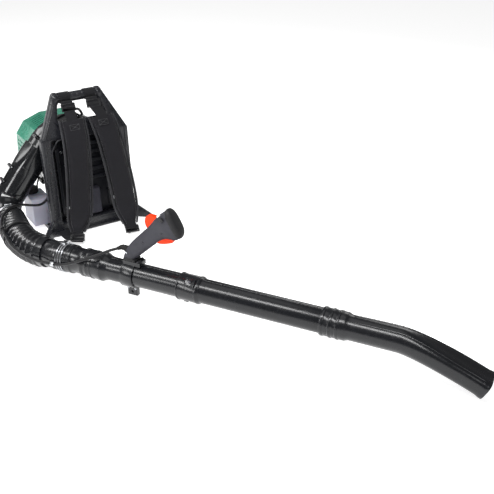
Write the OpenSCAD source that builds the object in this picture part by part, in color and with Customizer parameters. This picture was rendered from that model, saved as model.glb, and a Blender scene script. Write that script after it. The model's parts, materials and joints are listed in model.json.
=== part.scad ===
// Petrol backpack leaf blower: back frame with harness, fan and engine, flexible hose,
// swivelling blower pipe with throttle handle, and a drooping flat nozzle.
// X runs across the frame, -Y is the harness side, +Z is up. The origin lies on the floor
// under the middle of the frame.

/* [Back frame] */
// Width of the frame at the floor
frame_w = 311; // [305:1:317]
// Height at which the frame turns into its sloping shoulders
kink_z = 342; // [338:1:346]
// Width across the top of the shoulders
shoulder_w = 150; // [144:1:156]
// Slope length of the shoulders
shoulder_len = 146; // [142:1:148]
// Front to back depth of the moulding
frame_t = 32; // [30:1:33]
// Backward lean of the lower part in degrees
lean_low = 3.4; // [3:0.1:3.8]
// Backward lean of the shoulders in degrees
lean_top = 19; // [18:0.5:20]

/* [Fan and duct] */
// Outer radius of the fan wheel
fan_r = 106; // [100:1:108]
// Depth of the fan housing
housing_w = 90; // [88:1:92]
// Outer radius of the round outlet duct
duct_r = 49; // [48:0.5:50]
// Wall of the housing and duct
wall = 3; // [2.5:0.1:3]
// Length of the straight outlet duct
duct_len = 195; // [190:1:200]
// Bend radius of the outlet elbow
elbow_r = 70; // [68:1:72]

/* [Hose and pipe] */
// Outer radius of the corrugated hose
hose_r = 50; // [48:1:51]
// Number of corrugations in the hose
hose_rings = 12; // [10:1:14]
// Outer radius of the blower pipe
pipe_r = 35; // [34.5:0.1:35.2]
// Wall of the blower pipe
pipe_wall = 2; // [1.5:0.1:2.5]
// Direction of the pipe in degrees from straight ahead
pipe_turn_out = 32.4; // [31.5:0.1:33.5]
// Height of the pipe's centre line over the floor
pipe_z = 112; // [111:1:113]

/* [Throttle handle] */
// Upward tilt of the grip from the pipe in degrees
grip_tilt = 43; // [41:1:45]
// Width of the grip
grip_w = 34; // [33:1:36]
// Depth of the grip
grip_d = 48; // [46:1:50]
// Length of the grip up to its head
grip_len = 190; // [188:1:192]

/* [Engine] */
// Piston radius
piston_r = 22; // [21:0.5:22.5]
// Piston stroke
stroke = 32; // [30:1:34]
// Flywheel radius
flywheel_r = 52; // [48:1:53]

/* [Harness] */
// Width of a shoulder pad
pad_w = 90; // [84:1:92]
// Thickness of a shoulder pad
pad_t = 15; // [12:1:16]
// Width of the webbing
web_w = 38; // [36:1:39]

/* [Hidden] */
$fn = 64;

// Clearances: a running fit, and the gap left between neighbours.
run_fit = 0.05;
gap = 0.4;

// Fan and crank axis, which runs front to back.
axis_x = -12;
axis_z = 214;
fan_y = 120;
front_y = fan_y - housing_w / 2;
rear_y = fan_y + housing_w / 2;

// Frame outline.
kink_y = kink_z * tan(lean_low);
window_w = 234;
window_low = 45;
window_high = 335;
tube_r = 16;
tube_up = 128;
collar_r = 21;

// Scroll: its wall runs out from the cut-off to the duct over one turn.
duct_angle = 142;
duct_dist = 142;
scroll_small = 122;
scroll_big = 166;
throat_in = 114;
throat_len = 95;
tongue_turn = 28;
tongue_len = 62;
duct_start = throat_len + gap;
duct_out = [cos(duct_angle), sin(duct_angle)];
duct_dir = [-sin(duct_angle), cos(duct_angle)];
elbow_in = [axis_x, axis_z] + duct_dist * duct_out + duct_len * duct_dir;
elbow_out = [elbow_in[0] + elbow_r * duct_dir[0], fan_y - elbow_r,
    elbow_in[1] + elbow_r * duct_dir[1]];

// Pipe line: a point on it beside the frame, and its direction.
pipe_start = [-150, -495, pipe_z];
pipe_dir = [sin(pipe_turn_out), -cos(pipe_turn_out), 0];
cuff_s = -232;
cuff_r = 42;
cuff_wall = 3;

// Hose centre line: one cubic curve from the elbow to the cuff.
hose_a = elbow_out;
hose_b = elbow_out + [-10, -120, 2];
hose_d = pipe_start + cuff_s * pipe_dir;
hose_c = hose_d - 125 * pipe_dir;
hose_wall = 3;
spigot_r = 40.5;
spigot_len = 28;
hose_split = 0.5;

// Throttle cable and its sleeve: points chosen by hand along the route.
cable_r = 4.5;
cable_sides = 8;
cable_rear_route = [[63, 199, 301], [63, 194, 322], [55, 177, 350], [38, 155, 378],
    [15, 128, 394], [-25, 96, 396], [-75, 80, 388], [-108, 68, 366], [-124, 61, 325],
    [-132, 61, 270], [-136, 60, 200], [-140, 58, 145], [-153, 50, 121], [-180, 40, 115],
    [-210, 36, 122], [-237, 30, 133], [-263, 14, 143], [-300, -17, 153],
    [-334, -57, 149], [-351, -95, 144], [-357, -124, 141]];
cable_front_route = [[-357, -126, 141], [-361, -158, 138], [-362, -190, 132],
    [-362, -222, 128], [-356, -254, 123], [-346, -288, 119], [-330, -321, 115],
    [-309, -346, 111], [-290, -369, 110]];
cable_tail_route = [[-288, -371, 110], [-273, -394, 114], [-256, -421, 125],
    [-228, -458, 146], [-196, -486, 164], [-163, -509, 181], [-141, -523, 189],
    [-129, -531, 193]];
cable_clip_at = [-357, -125, 141];

// Stations of the shoulder pads: centre, width and turn about Z.
pad_right_at = [[-45, 14, 402, pad_w - 2, 0], [-49, -18, 330, pad_w, 0],
    [-57, -36, 240, pad_w, 0], [-66, -46, 150, pad_w, 0], [-77, -54, 78, pad_w - 6, -8],
    [-98, -80, 40, 48, -28]];
pad_left_at = [[57, 14, 398, pad_w - 2, 0], [70, -16, 325, pad_w, 0],
    [80, -34, 240, pad_w, 0], [88, -46, 160, pad_w, 0], [91, -62, 85, pad_w - 4, 0],
    [86, -100, 34, 50, -12]];

function unit(v) = v / norm(v);
function on_pipe(s) = pipe_start + s * pipe_dir;
function bezier(u) = pow(1 - u, 3) * hose_a + 3 * u * pow(1 - u, 2) * hose_b
    + 3 * u * u * (1 - u) * hose_c + pow(u, 3) * hose_d;
function scroll_radius(t) = scroll_small + (scroll_big - scroll_small) * t / 360;
function scroll_outline(inset) = concat(
    [for (t = [tongue_turn:8:356]) (scroll_radius(t) - inset)
        * [cos(duct_angle + t), sin(duct_angle + t)]],
    [(scroll_big - inset) * duct_out,
        (scroll_big - inset) * duct_out + (throat_len + inset) * duct_dir,
        (throat_in + inset) * duct_out + (throat_len + inset) * duct_dir,
        (throat_in + inset) * duct_out + (tongue_len - 2 * inset) * duct_dir]);

// Catmull-Rom curve through hand-chosen points, each stretch cut in equal steps.
function curve_point(a, b, c, d, u) = 0.5 * (2 * b + (c - a) * u
    + (2 * a - 5 * b + 4 * c - d) * u * u + (3 * b - a - 3 * c + d) * u * u * u);
function curve(p, steps) = let (n = len(p) - 1) concat(
    [for (i = [0:n - 1]) for (k = [0:steps - 1]) curve_point(
        i == 0 ? 2 * p[0] - p[1] : p[i - 1], p[i], p[i + 1],
        i == n - 1 ? 2 * p[n] - p[n - 1] : p[i + 2], k / steps)],
    [p[n]]);
function heading(p, i) = unit(p[min(i + 1, len(p) - 1)] - p[max(i - 1, 0)]);
function ring(p, i, wide, high, sides) = let (t = heading(p, i),
    a = unit(cross(t, abs(t[2]) > 0.9 ? [0, 1, 0] : [0, 0, 1])), b = cross(a, t))
    [for (j = [0:sides - 1]) p[i] + wide * cos(360 * j / sides) * a
        + high * sin(360 * j / sides) * b];
function side_faces(rings, sides, first) = [for (i = [0:rings - 2]) for (j = [0:sides - 1])
    [first + i * sides + j, first + i * sides + (j + 1) % sides,
     first + (i + 1) * sides + (j + 1) % sides, first + (i + 1) * sides + j]];
function turned(face) = [for (k = [len(face) - 1:-1:0]) face[k]];

// Solid round sweep along a path.
module solid_sweep(path, r, sides) {
    n = len(path);
    polyhedron(
        points = [for (i = [0:n - 1]) each ring(path, i, r, r, sides)],
        faces = concat([[for (j = [sides - 1:-1:0]) j]], side_faces(n, sides, 0),
            [[for (j = [0:sides - 1]) (n - 1) * sides + j]]));
}

// Hollow sweep whose half width and half height change along the path.
module hollow_sweep(path, wide, high, thick, sides) {
    n = len(path);
    m = n * sides;
    polyhedron(
        points = concat(
            [for (i = [0:n - 1]) each ring(path, i, wide[i], high[i], sides)],
            [for (i = [0:n - 1]) each ring(path, i, wide[i] - thick, high[i] - thick, sides)]),
        faces = concat(
            side_faces(n, sides, 0),
            [for (f = side_faces(n, sides, m)) turned(f)],
            [for (j = [0:sides - 1]) [j, m + j, m + (j + 1) % sides, (j + 1) % sides]],
            [for (j = [0:sides - 1]) [m - sides + j, m - sides + (j + 1) % sides,
                2 * m - sides + (j + 1) % sides, 2 * m - sides + j]]));
}

// Places children on the crank axis with Z pointing to the rear, starting at y.
module on_crank(y) { translate([axis_x, y, axis_z]) rotate([-90, 0, 0]) children(); }
// A disc or ring on the crank axis from y0 to y1.
module crank_disc(y0, y1, r) { on_crank(y0) cylinder(h = y1 - y0, r = r); }
// Places children on the pipe: X across, Y up, Z along the flow, at distance s.
module at_pipe(s) { translate(on_pipe(s)) rotate([90, 0, pipe_turn_out]) children(); }
module pipe_disc(s0, s1, r) { at_pipe(s0) cylinder(h = s1 - s0, r = r); }
module pipe_tube(s0, s1, r, bore) {
    difference() {
        pipe_disc(s0, s1, r);
        pipe_disc(s0 - 1, s1 + 1, bore);
    }
}
// Flat outline in X and Z given a thickness from y0 to y1.
module upright(y0, y1) {
    translate([0, y1, 0]) rotate([90, 0, 0]) linear_extrude(y1 - y0) children();
}
module box(low, high) { translate(low) cube(high - low); }
module leaned() { rotate([-lean_low, 0, 0]) children(); }
module shoulder() { translate([0, kink_y, kink_z]) rotate([-lean_top, 0, 0]) children(); }

// ---- Back frame ----

module foot(side) {
    mirror([side > 0 ? 0 : 1, 0, 0]) intersection() {
        linear_extrude(60)
            polygon([[135, 2], [148, 2], [195, -40], [207, -40], [207, -22], [150, 29], [135, 29]]);
        upright(-60, 60) polygon([[135, 0], [208, 0], [208, 8], [150, 58], [135, 58]]);
    }
}

module back_frame() {
    half = frame_w / 2;
    // The shoulders start just inside the lower part's sides.
    base = half - 0.5;
    color("#1d1e20") difference() {
        union() {
            leaned() upright(0, frame_t) difference() {
                polygon([[-half, -20], [half, -20], [half, kink_z], [-half, kink_z]]);
                translate([-window_w / 2, window_low])
                    square([window_w, window_high - window_low]);
            }
            shoulder() upright(0, frame_t) difference() {
                polygon([[-base, -4], [base, -4], [shoulder_w / 2 + 8, shoulder_len],
                    [-shoulder_w / 2 - 8, shoulder_len]]);
                polygon([[-84, 52], [84, 52], [64, shoulder_len + 1],
                    [-64, shoulder_len + 1]]);
            }
            box([-150, -6, -1], [150, 6, 12]);
            for (x = [-84, 66]) shoulder() translate([x, frame_t / 2, tube_up])
                rotate([0, 90, 0]) cylinder(h = 18, r = collar_r);
            foot(1);
            foot(-1);
        }
        box([-300, -100, -60], [300, 200, 0]);
        shoulder() translate([-74, frame_t / 2, tube_up]) rotate([0, 90, 0])
            cylinder(h = 148, r = tube_r + run_fit);
    }
}

module carry_handle() {
    color("#232427") shoulder() translate([-74, frame_t / 2, tube_up]) rotate([0, 90, 0])
        cylinder(h = 148, r = tube_r);
}

module back_panel() {
    rib = 4;
    color("#17181a") leaned() {
        box([-128, frame_t + 0.1, 34], [128, frame_t + 4, 336]);
        for (x = [-100, -70, 70, 100])
            box([x - rib / 2, frame_t - 9, 60], [x + rib / 2, frame_t + 0.1, 320]);
    }
}

module spine_block() {
    color("#3a3a40") leaned() box([-31, 4, 50], [31, frame_t - 0.1, 142]);
}

module engine_cradle() {
    color("#1b1c1e") {
        box([-150, 36.5, 8], [150, 290, 15]);
        for (x = [-150, 118]) box([x, 36.5, 0], [x + 32, 290, 8]);
        for (x = [-72, 48]) translate([x, 205, 15]) cylinder(h = 45, r = 16);
    }
}

// ---- Harness ----

module pad_slice(p) {
    translate([p[0], p[1], p[2]]) rotate([0, 0, p[4]]) cube([p[3], pad_t, 2], center = true);
}
module pad(stations) {
    for (i = [0:len(stations) - 2]) hull() {
        pad_slice(stations[i]);
        pad_slice(stations[i + 1]);
    }
}
module shoulder_pad_right() { color("#38383c") pad(pad_right_at); }
module shoulder_pad_left() { color("#38383c") pad(pad_left_at); }

// Webbing between two edges: each edge is a centre and a turn about Z.
module band(a, b) {
    hull() {
        for (p = [a, b]) translate([p[0], p[1], p[2]]) rotate([0, 0, p[3]])
            cube([web_w, 2, 2], center = true);
    }
}
loop_x = [-44, 44];
module upper_webbing() {
    color("#2b2b2e") for (i = [0, 1]) {
        shoulder() translate([loop_x[i] - web_w / 2, frame_t / 2, tube_up]) rotate([0, 90, 0])
            difference() {
                cylinder(h = web_w, r = tube_r + 2.8);
                translate([0, 0, -1]) cylinder(h = web_w + 2, r = tube_r + 0.4);
            }
        band([loop_x[i], 50, 452, 0], [loop_x[i], 44, 445, 0]);
        band([loop_x[i], 31, 424, 0], [i == 0 ? -45 : 56, 19, 406, 0]);
    }
}
lock_at = [[-44, 37, 435, 24, 0], [44, 37, 435, 24, 0], [-106, -92, 26, 50, -28],
    [86, -112, 17, 55, -12]];
module ladder_locks() {
    color("#18181a") for (p = lock_at) translate([p[0], p[1], p[2]])
        rotate([0, 0, p[4]]) rotate([-p[3], 0, 0]) difference() {
            cube([48, 7, 26], center = true);
            for (z = [-6.5, 6.5]) translate([0, 0, z]) cube([web_w + 1, 9, 6], center = true);
        }
}
module lower_webbing() {
    color("#2b2b2e") {
        band([-110, -76, 20, -20], [-120, -1, 20, 0]);
        band([92, -94, 15, -10], [112, -1, 20, 0]);
    }
}

// ---- Fan housing ----

module vibration_mounts() {
    color("#101011") {
        for (x = [-95, 72]) translate([x, 55, 290]) rotate([-90, 0, 0])
            cylinder(h = front_y - 55.2, r = 14);
        for (x = [-72, 48]) translate([x, 205, 60.1]) cylinder(h = 24.8, r = 14);
    }
}

module duct_line(y) {
    translate([axis_x + duct_dist * duct_out[0], y, axis_z + duct_dist * duct_out[1]])
        rotate([0, atan2(duct_dir[0], duct_dir[1]), 0]) children();
}
duct_bosses = [for (s = [117, 172]) s * duct_dir + (duct_dist + duct_r + 4.5) * duct_out];
scroll_bosses = concat([-12 * duct_dir + (scroll_big + 4) * duct_out],
    [for (t = [60, 120, 180, 240, 300]) (scroll_radius(t) + 5)
        * [cos(duct_angle + t), sin(duct_angle + t)]]);
module at_bosses(spots, y) {
    for (p = spots) translate([axis_x + p[0], y, axis_z + p[1]]) rotate([-90, 0, 0])
        children();
}
module housing_shell() {
    difference() {
        union() {
            upright(front_y, rear_y) translate([axis_x, axis_z]) polygon(scroll_outline(0));
            at_bosses(scroll_bosses, fan_y - 14) cylinder(h = 28, r = 7);
        }
        upright(front_y + wall, rear_y - wall) translate([axis_x, axis_z])
            polygon(scroll_outline(wall));
        at_bosses(scroll_bosses, fan_y - 16) cylinder(h = 32, r = 2.3);
    }
}
inlet_r = 66;
module volute_front() {
    color("#141517") difference() {
        housing_shell();
        box([-500, fan_y, -100], [500, 300, 600]);
        crank_disc(front_y - 1, front_y + wall + 1, inlet_r);
    }
}
module volute_rear() {
    color("#141517") difference() {
        housing_shell();
        box([-500, -100, -100], [500, fan_y, 600]);
        crank_disc(rear_y - wall - 1, rear_y + 1, 15);
    }
}
module housing_screws() {
    color("#8d9196") {
        for (spots = [scroll_bosses, duct_bosses]) {
            at_bosses(spots, fan_y - 14) cylinder(h = 30, r = 2);
            at_bosses(spots, fan_y + 14.1) cylinder(h = 4, r = 4.5);
        }
    }
}
module inlet_guard() {
    color("#1b1c1e") {
        for (r = [20, 34, 48, 62]) on_crank(front_y - 5) difference() {
            cylinder(h = 3, r = r);
            translate([0, 0, -1]) cylinder(h = 5, r = r - 4);
        }
        for (k = [0:60:300]) on_crank(front_y - 4.8) rotate([0, 0, k]) translate([16, -2, 0])
            cube([56, 4, 2.6]);
        for (k = [0:60:300]) on_crank(front_y - 4.8) rotate([0, 0, k]) translate([72, 0, 0])
            cylinder(h = 4.7, r = 5);
    }
}

// Quarter bend from the duct's direction round to straight ahead.
module elbow_sweep(r) {
    translate([elbow_in[0], fan_y - elbow_r, elbow_in[1]])
        rotate([0, atan2(duct_dir[0], duct_dir[1]), 0]) rotate([0, 90, 0]) rotate([0, 0, 90])
        rotate_extrude(angle = 90) translate([elbow_r, 0]) circle(r = r);
}
// Along the hose's first stretch, Z pointing into the hose.
module hose_start(z) { toward(hose_a, hose_b) translate([0, 0, z]) children(); }
module outlet_duct() {
    color("#141517") difference() {
        union() {
            duct_line(fan_y) {
                translate([0, 0, duct_start])
                    cylinder(h = duct_len + 0.5 - duct_start, r = duct_r);
                translate([-32, -duct_r + 2, duct_start])
                    cube([64, 2 * duct_r - 4, wall]);
            }
            elbow_sweep(duct_r - 0.6);
            translate([elbow_out[0], elbow_out[1] - 3, elbow_out[2]]) rotate([-90, 0, 0])
                cylinder(h = 4, r = duct_r);
            hose_start(0) cylinder(h = spigot_len, r = spigot_r);
            at_bosses(duct_bosses, fan_y - 14) cylinder(h = 28, r = 7);
        }
        duct_line(fan_y) {
            translate([0, 0, duct_start + wall])
                cylinder(h = duct_len + 1 - duct_start - wall, r = duct_r - wall - 1);
            translate([-23, 5 - housing_w / 2, duct_start - 1])
                cube([46, housing_w - 10, wall + 2]);
        }
        elbow_sweep(duct_r - wall - 1.4);
        hose_start(-2) cylinder(h = spigot_len + 4, r = spigot_r - wall);
        at_bosses(duct_bosses, fan_y - 16) cylinder(h = 32, r = 2.3);
    }
}
module elbow_clamp() {
    color("#9a9ea3") hose_start(11) {
        difference() {
            cylinder(h = 8, r = hose_r - 2);
            translate([0, 0, -1]) cylinder(h = 10, r = hose_r - 3.7);
        }
        rotate([0, 0, 90]) translate([-8, hose_r - 2.6, 0]) cube([16, 7, 8]);
    }
}

// ---- Engine ----

crank_r = stroke / 2;
rod_y = 200;
bore_top = 308;
module crankcase() {
    color("#9b9d9f") difference() {
        union() {
            crank_disc(172, 230, 38);
            box([axis_x - 30, 172, axis_z], [axis_x + 30, 228, 252.1]);
            box([axis_x - 24, 185, 88], [axis_x + 24, 225, axis_z - 20]);
            box([axis_x - 76, 187, 85], [axis_x + 76, 223, 93]);
        }
        crank_disc(184, 216, 30);
        crank_disc(171, 182.5, 17 + run_fit);
        crank_disc(217.5, 231, 17 + run_fit);
        crank_disc(170, 232, 11);
        translate([axis_x, rod_y, axis_z]) cylinder(h = 40, r = piston_r + 1);
    }
}
module main_bearings() {
    color("#b9bcc0") for (y = [173.5, 218.5]) difference() {
        crank_disc(y, y + 8, 17);
        crank_disc(y - 1, y + 9, 8 + run_fit);
    }
}
module engine_cylinder() {
    color("#a4a7aa") translate([axis_x, rod_y, 0]) difference() {
        union() {
            translate([0, 0, 252.2]) cylinder(h = 64, r = 29);
            for (z = [258:8:306]) translate([0, 0, z]) cylinder(h = 2.4, r = 33);
        }
        translate([0, 0, 240]) cylinder(h = bore_top - 240, r = piston_r + run_fit);
        translate([0, 0, 300]) cylinder(h = 20, r = 5.1);
    }
}
module piston() {
    color("#c3c6c9") translate([axis_x, rod_y, 0]) {
        difference() {
            translate([0, 0, 262]) cylinder(h = 38, r = piston_r);
            translate([0, 0, 261]) cylinder(h = 32, r = piston_r - 4);
        }
        translate([0, piston_r - 3, 278]) rotate([90, 0, 0])
            cylinder(h = 2 * piston_r - 6, r = 3.5);
    }
}
module con_rod() {
    color("#8f9296") difference() {
        union() {
            on_rod(0) cylinder(h = 10, r = 9);
            on_rod(1) cylinder(h = 10, r = 6.5);
            box([axis_x - 4, rod_y - 4, axis_z + crank_r + 7], [axis_x + 4, rod_y + 4, 274]);
        }
        on_rod(0) translate([0, 0, -1]) cylinder(h = 12, r = 5);
        on_rod(1) translate([0, 0, -1]) cylinder(h = 12, r = 3.6);
    }
}
module on_rod(end) {
    translate([axis_x, rod_y - 5, end == 0 ? axis_z + crank_r : 278]) rotate([-90, 0, 0])
        children();
}
module spark_plug() {
    color("#e6e4df") translate([axis_x, rod_y, 0]) {
        translate([0, 0, 306]) cylinder(h = 10, r = 5);
        translate([0, 0, 316.2]) cylinder(h = 7, r = 9, $fn = 6);
        translate([0, 0, 323]) cylinder(h = 20, r = 5);
    }
}
module ignition_coil() {
    color("#26262a") {
        box([axis_x - 16, 246, axis_z + flywheel_r + 1], [axis_x + 16, 259, axis_z + flywheel_r + 18]);
        box([axis_x - 10, 233.5, axis_z + flywheel_r + 8], [axis_x + 10, 246.2, axis_z + flywheel_r + 14]);
    }
}
module muffler() {
    color("#6d6a66") {
        difference() {
            box([-126, 178, 242], [-56, 234, 306]);
            box([-124, 180, 244], [-58, 232, 304]);
        }
        translate([-56.2, rod_y, 268]) rotate([0, 90, 0]) cylinder(h = 11, r = 9);
        translate([-100, 233.5, 262]) rotate([-90, 0, 0]) cylinder(h = 16, r = 7);
    }
}
module carburettor() {
    color("#b0b2b4") difference() {
        union() {
            box([36, 186, 255], [66, 216, 295]);
            translate([21.5, rod_y, 272]) rotate([0, 90, 0]) cylinder(h = 15, r = 12);
            translate([51, 215.5, 268]) rotate([-90, 0, 0]) cylinder(h = 4, r = 12);
        }
        translate([20, rod_y, 272]) rotate([0, 90, 0]) cylinder(h = 48, r = 8);
        translate([51, 211, 268]) rotate([-90, 0, 0]) cylinder(h = 10, r = 9.5);
    }
}
module primer_bulb() {
    color("#d9dde0") translate([51, 217, 268]) rotate([-90, 0, 0]) {
        cylinder(h = 5, r = 9);
        translate([0, 0, 5]) intersection() {
            sphere(r = 9);
            cylinder(h = 10, r = 10);
        }
    }
}
module throttle_arm() {
    color("#9da0a3") {
        translate([48, 200, 295.3]) cylinder(h = 4, r = 4);
        box([48, 197, 295.8], [65, 203, 298.2]);
    }
}
module choke_lever() {
    color("#c9481e") {
        translate([54, 201, 229]) cylinder(h = 25.6, r = 3);
        box([54, 197, 229], [104, 205, 232]);
        translate([104, 201, 229]) cylinder(h = 3, r = 6);
    }
}
module air_filter() { color("#d2c58e") box([71, 178, 246], [94, 238, 310]); }
module filter_cover() {
    color("#1c1d1f") difference() {
        box([68, 170, 238], [120, 246, 318]);
        box([67, 173, 241], [117, 243, 315]);
    }
}

cover_profile = [[29, 195], [29, 352], [-62, 352], [-124, 330], [-154, 290], [-158, 195]];
function cover_inner(p) = [p[0] > 0 ? p[0] - 3 : p[0] + (p[0] < -100 ? 3.5 : 1),
    p[1] > 200 ? p[1] - 3.5 : p[1] - 5];
module engine_cover() {
    color("#4f9a82") difference() {
        upright(170, 292) polygon(cover_profile);
        upright(169, 289) polygon([for (p = cover_profile) cover_inner(p)]);
        crank_disc(244, 300, 73);
        box([20, 180, 240], [40, 222, 310]);
        for (k = [0:5]) translate([-78, 186 + 15 * k, 340]) rotate([0, 19, 0])
            box([-38, 0, -14], [38, 5, 14]);
        for (i = [0:5]) for (j = [0:4])
            translate([-170, 186 + 17 * i + (j % 2) * 8, 210 + 15 * j]) rotate([0, 90, 0])
                cylinder(h = 30, r = 5);
    }
}
module starter_cover() {
    color("#4f9a82") {
        difference() {
            crank_disc(262, 305, 72);
            crank_disc(261, 302, 69);
            translate([30, 272, axis_z + 25]) rotate([0, 90, 0]) cylinder(h = 60, r = 3.5);
            for (r = [26, 42, 58]) for (k = [0:30:330]) on_crank(300) rotate([0, 0, k + r])
                translate([r, 0, 0]) cylinder(h = 10, r = 4.5);
        }
        crank_disc(266, 302.5, 6);
    }
}
module starter_pulley() {
    color("#d8d8d4") difference() {
        union() {
            crank_disc(268, 276, 26);
            crank_disc(267, 269, 31);
            crank_disc(275, 277, 31);
        }
        crank_disc(266, 278, 6 + run_fit);
    }
}
module starter_handle() {
    color("#1b1b1d") {
        translate([74, 272, axis_z + 25]) rotate([0, 90, 0]) cylinder(h = 9, r1 = 5, r2 = 9);
        translate([88, 272, axis_z + 25 - 30]) cylinder(h = 60, r = 9);
    }
}
module starter_rope() {
    color("#e8e2d0") translate([30, 272, axis_z + 25]) rotate([0, 90, 0])
        cylinder(h = 43.8, r = 1.8);
}

module crankshaft() {
    color("#a9acb0") {
        crank_disc(110, 189, 8);
        crank_disc(188, 194, 26);
        crank_disc(206, 212, 26);
        crank_disc(211, 262, 8);
    }
}
module flywheel() {
    color("#9fa3a6") difference() {
        crank_disc(246, 260, flywheel_r);
        crank_disc(245, 261, 8 + run_fit);
        crank_disc(252, 261, flywheel_r - 10);
    }
}
blades = 11;
module impeller() {
    color("#2c2d30") {
        difference() {
            union() {
                crank_disc(146, 150, fan_r);
                crank_disc(112, 150, 17);
            }
            crank_disc(108, 152, 8 + run_fit);
        }
        for (k = [0:blades - 1]) on_crank(88) rotate([0, 0, k * 360 / blades])
            translate([48, 0, 0]) rotate([0, 0, 32]) cube([58, 3, 58.2]);
        difference() {
            crank_disc(85, 88.2, fan_r);
            crank_disc(84, 89, inlet_r + 2);
        }
    }
}

// ---- Fuel system ----

module tank_body(t) {
    box([-192 + t, 80 + t, 18 + t], [100 - t, 178 - t, 66 - t]);
    box([-192 + t, 80 + t, 18 + t], [-128 - t, 178 - t, 115 - t]);
}
module fuel_tank() {
    color("#b9b8c2") difference() {
        union() {
            tank_body(0);
            translate([-166, 152, 114]) cylinder(h = 9, r = 16);
        }
        tank_body(3);
        translate([-166, 152, 105]) cylinder(h = 30, r = 12);
    }
}
module fuel_cap() {
    color("#1a1a1c") translate([-166, 152, 0]) difference() {
        translate([0, 0, 118]) cylinder(h = 17, r = 21);
        translate([0, 0, 117]) cylinder(h = 6.4, r = 16 + gap);
        for (k = [0:30:330]) rotate([0, 0, k]) translate([22, 0, 117])
            cylinder(h = 20, r = 2.5);
    }
}
module fuel_lines() {
    color("#151515") {
        solid_sweep(curve([[70, 172, 66.8], [72, 175, 110], [70, 182, 160], [58, 188, 210],
            [44, 190, 240], [42, 190, 254.9]], 4), 3, 8);
        solid_sweep(curve([[-142, 168, 115.8], [-139, 172, 135], [-122, 178, 165],
            [-95, 188, 192], [-70, 196, 206], [-51, 200, 212]], 4), 3, 8);
    }
}

// ---- Throttle cable ----

module throttle_cable_rear() {
    color("#202124") solid_sweep(curve(cable_rear_route, 3), cable_r, cable_sides);
}
module throttle_cable_front() {
    color("#202124") solid_sweep(curve(cable_front_route, 3), cable_r, cable_sides);
}
module throttle_cable_tail() {
    color("#202124") solid_sweep(curve(cable_tail_route, 3), cable_r, cable_sides);
}

// ---- Hose ----

module hose_part(u0, u1, rings) {
    steps = rings * 6;
    plain = 4;
    path = [for (i = [0:steps]) bezier(u0 + (u1 - u0) * i / steps)];
    size = [for (i = [0:steps]) i < plain || i > steps - plain ? hose_r - 4
        : hose_r - 3 + 3 * cos(60 * (i - plain))];
    hollow_sweep(path, size, size, hose_wall, 20);
}
module hose_rear() { color("#222326") hose_part(0.022, hose_split - 0.012, hose_rings / 2); }
module hose_front() { color("#222326") hose_part(hose_split + 0.012, 1, hose_rings / 2); }

module toward(from, target) {
    v = target - from;
    translate(from) rotate([0, acos(v[2] / norm(v)), atan2(v[1], v[0])]) children();
}
module hose_clip() {
    here = bezier(hose_split);
    ahead = unit(bezier(hose_split + 0.02) - bezier(hose_split - 0.02));
    color("#1a1b1d") {
        toward(here - 4 * ahead, here + 4 * ahead) difference() {
            cylinder(h = 8, r = hose_r + 1);
            translate([0, 0, -1]) cylinder(h = 10, r = hose_r - 3);
        }
        toward(here, cable_clip_at) translate([-4, -4, hose_r - 1]) cube([8, 8, 5.8]);
        translate(cable_clip_at) rotate([90, 0, 0]) translate([0, 0, -4]) difference() {
            cylinder(h = 8, r = cable_r + 3.5);
            translate([0, 0, -1]) cylinder(h = 10, r = cable_r + 1.1);
        }
    }
}

// ---- Swivel and pipe ----

module hose_cuff() {
    color("#1b1c1f") difference() {
        union() {
            pipe_disc(cuff_s - 10, -140, cuff_r);
            pipe_disc(-196, -190, cuff_r + 2);
        }
        pipe_disc(cuff_s - 11, -139, cuff_r - cuff_wall);
    }
}
module cuff_clamp() {
    color("#b4b8bc") {
        difference() {
            pipe_disc(-176, -156, cuff_r + 2);
            pipe_disc(-177, -155, cuff_r + 0.1);
        }
        at_pipe(-176) translate([-9, cuff_r + 1.8, 2]) cube([18, 8, 16]);
        at_pipe(-185) translate([-cuff_r - 8, -2, 0]) difference() {
            cylinder(h = 12, r = cable_r + 3);
            translate([0, 0, -1]) cylinder(h = 14, r = cable_r + 1.2);
        }
    }
}
module pipe_inner() {
    color("#17181a") difference() {
        union() {
            pipe_disc(-200, -136, cuff_r - cuff_wall - run_fit);
            pipe_disc(-139.6, -131, cuff_r + 1);
            pipe_disc(-133, -92, cuff_r - 4);
            pipe_disc(-94, -84, cuff_r + 1);
            pipe_disc(-86, -32, cuff_r - 1);
            pipe_disc(-34, -22, cuff_r + 1);
            pipe_disc(-24, 285, pipe_r);
        }
        pipe_disc(-201, 286, pipe_r - pipe_wall);
    }
}
module collar_shape(s, length) {
    for (k = [0:3]) pipe_disc(s + k * (length - 6) / 3, s + 6 + k * (length - 6) / 3, pipe_r + 5);
    pipe_disc(s, s + length, pipe_r + 3.5);
}
module pipe_outer() {
    color("#17181a") difference() {
        union() {
            collar_shape(228, 68);
            pipe_disc(290, 700, pipe_r);
            at_pipe(240) translate([-10, -pipe_r - 9, 0]) cube([20, 8, 14]);
            at_pipe(254) rotate([0, 0, 35]) translate([-12, pipe_r + 1, 0]) cube([24, 6, 30]);
        }
        pipe_disc(227, 289, pipe_r + run_fit);
        pipe_disc(288, 701, pipe_r - pipe_wall);
        at_pipe(269) rotate([0, 0, 35]) rotate([-90, 0, 0]) cylinder(h = 60, r = 2.2);
    }
}

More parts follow.
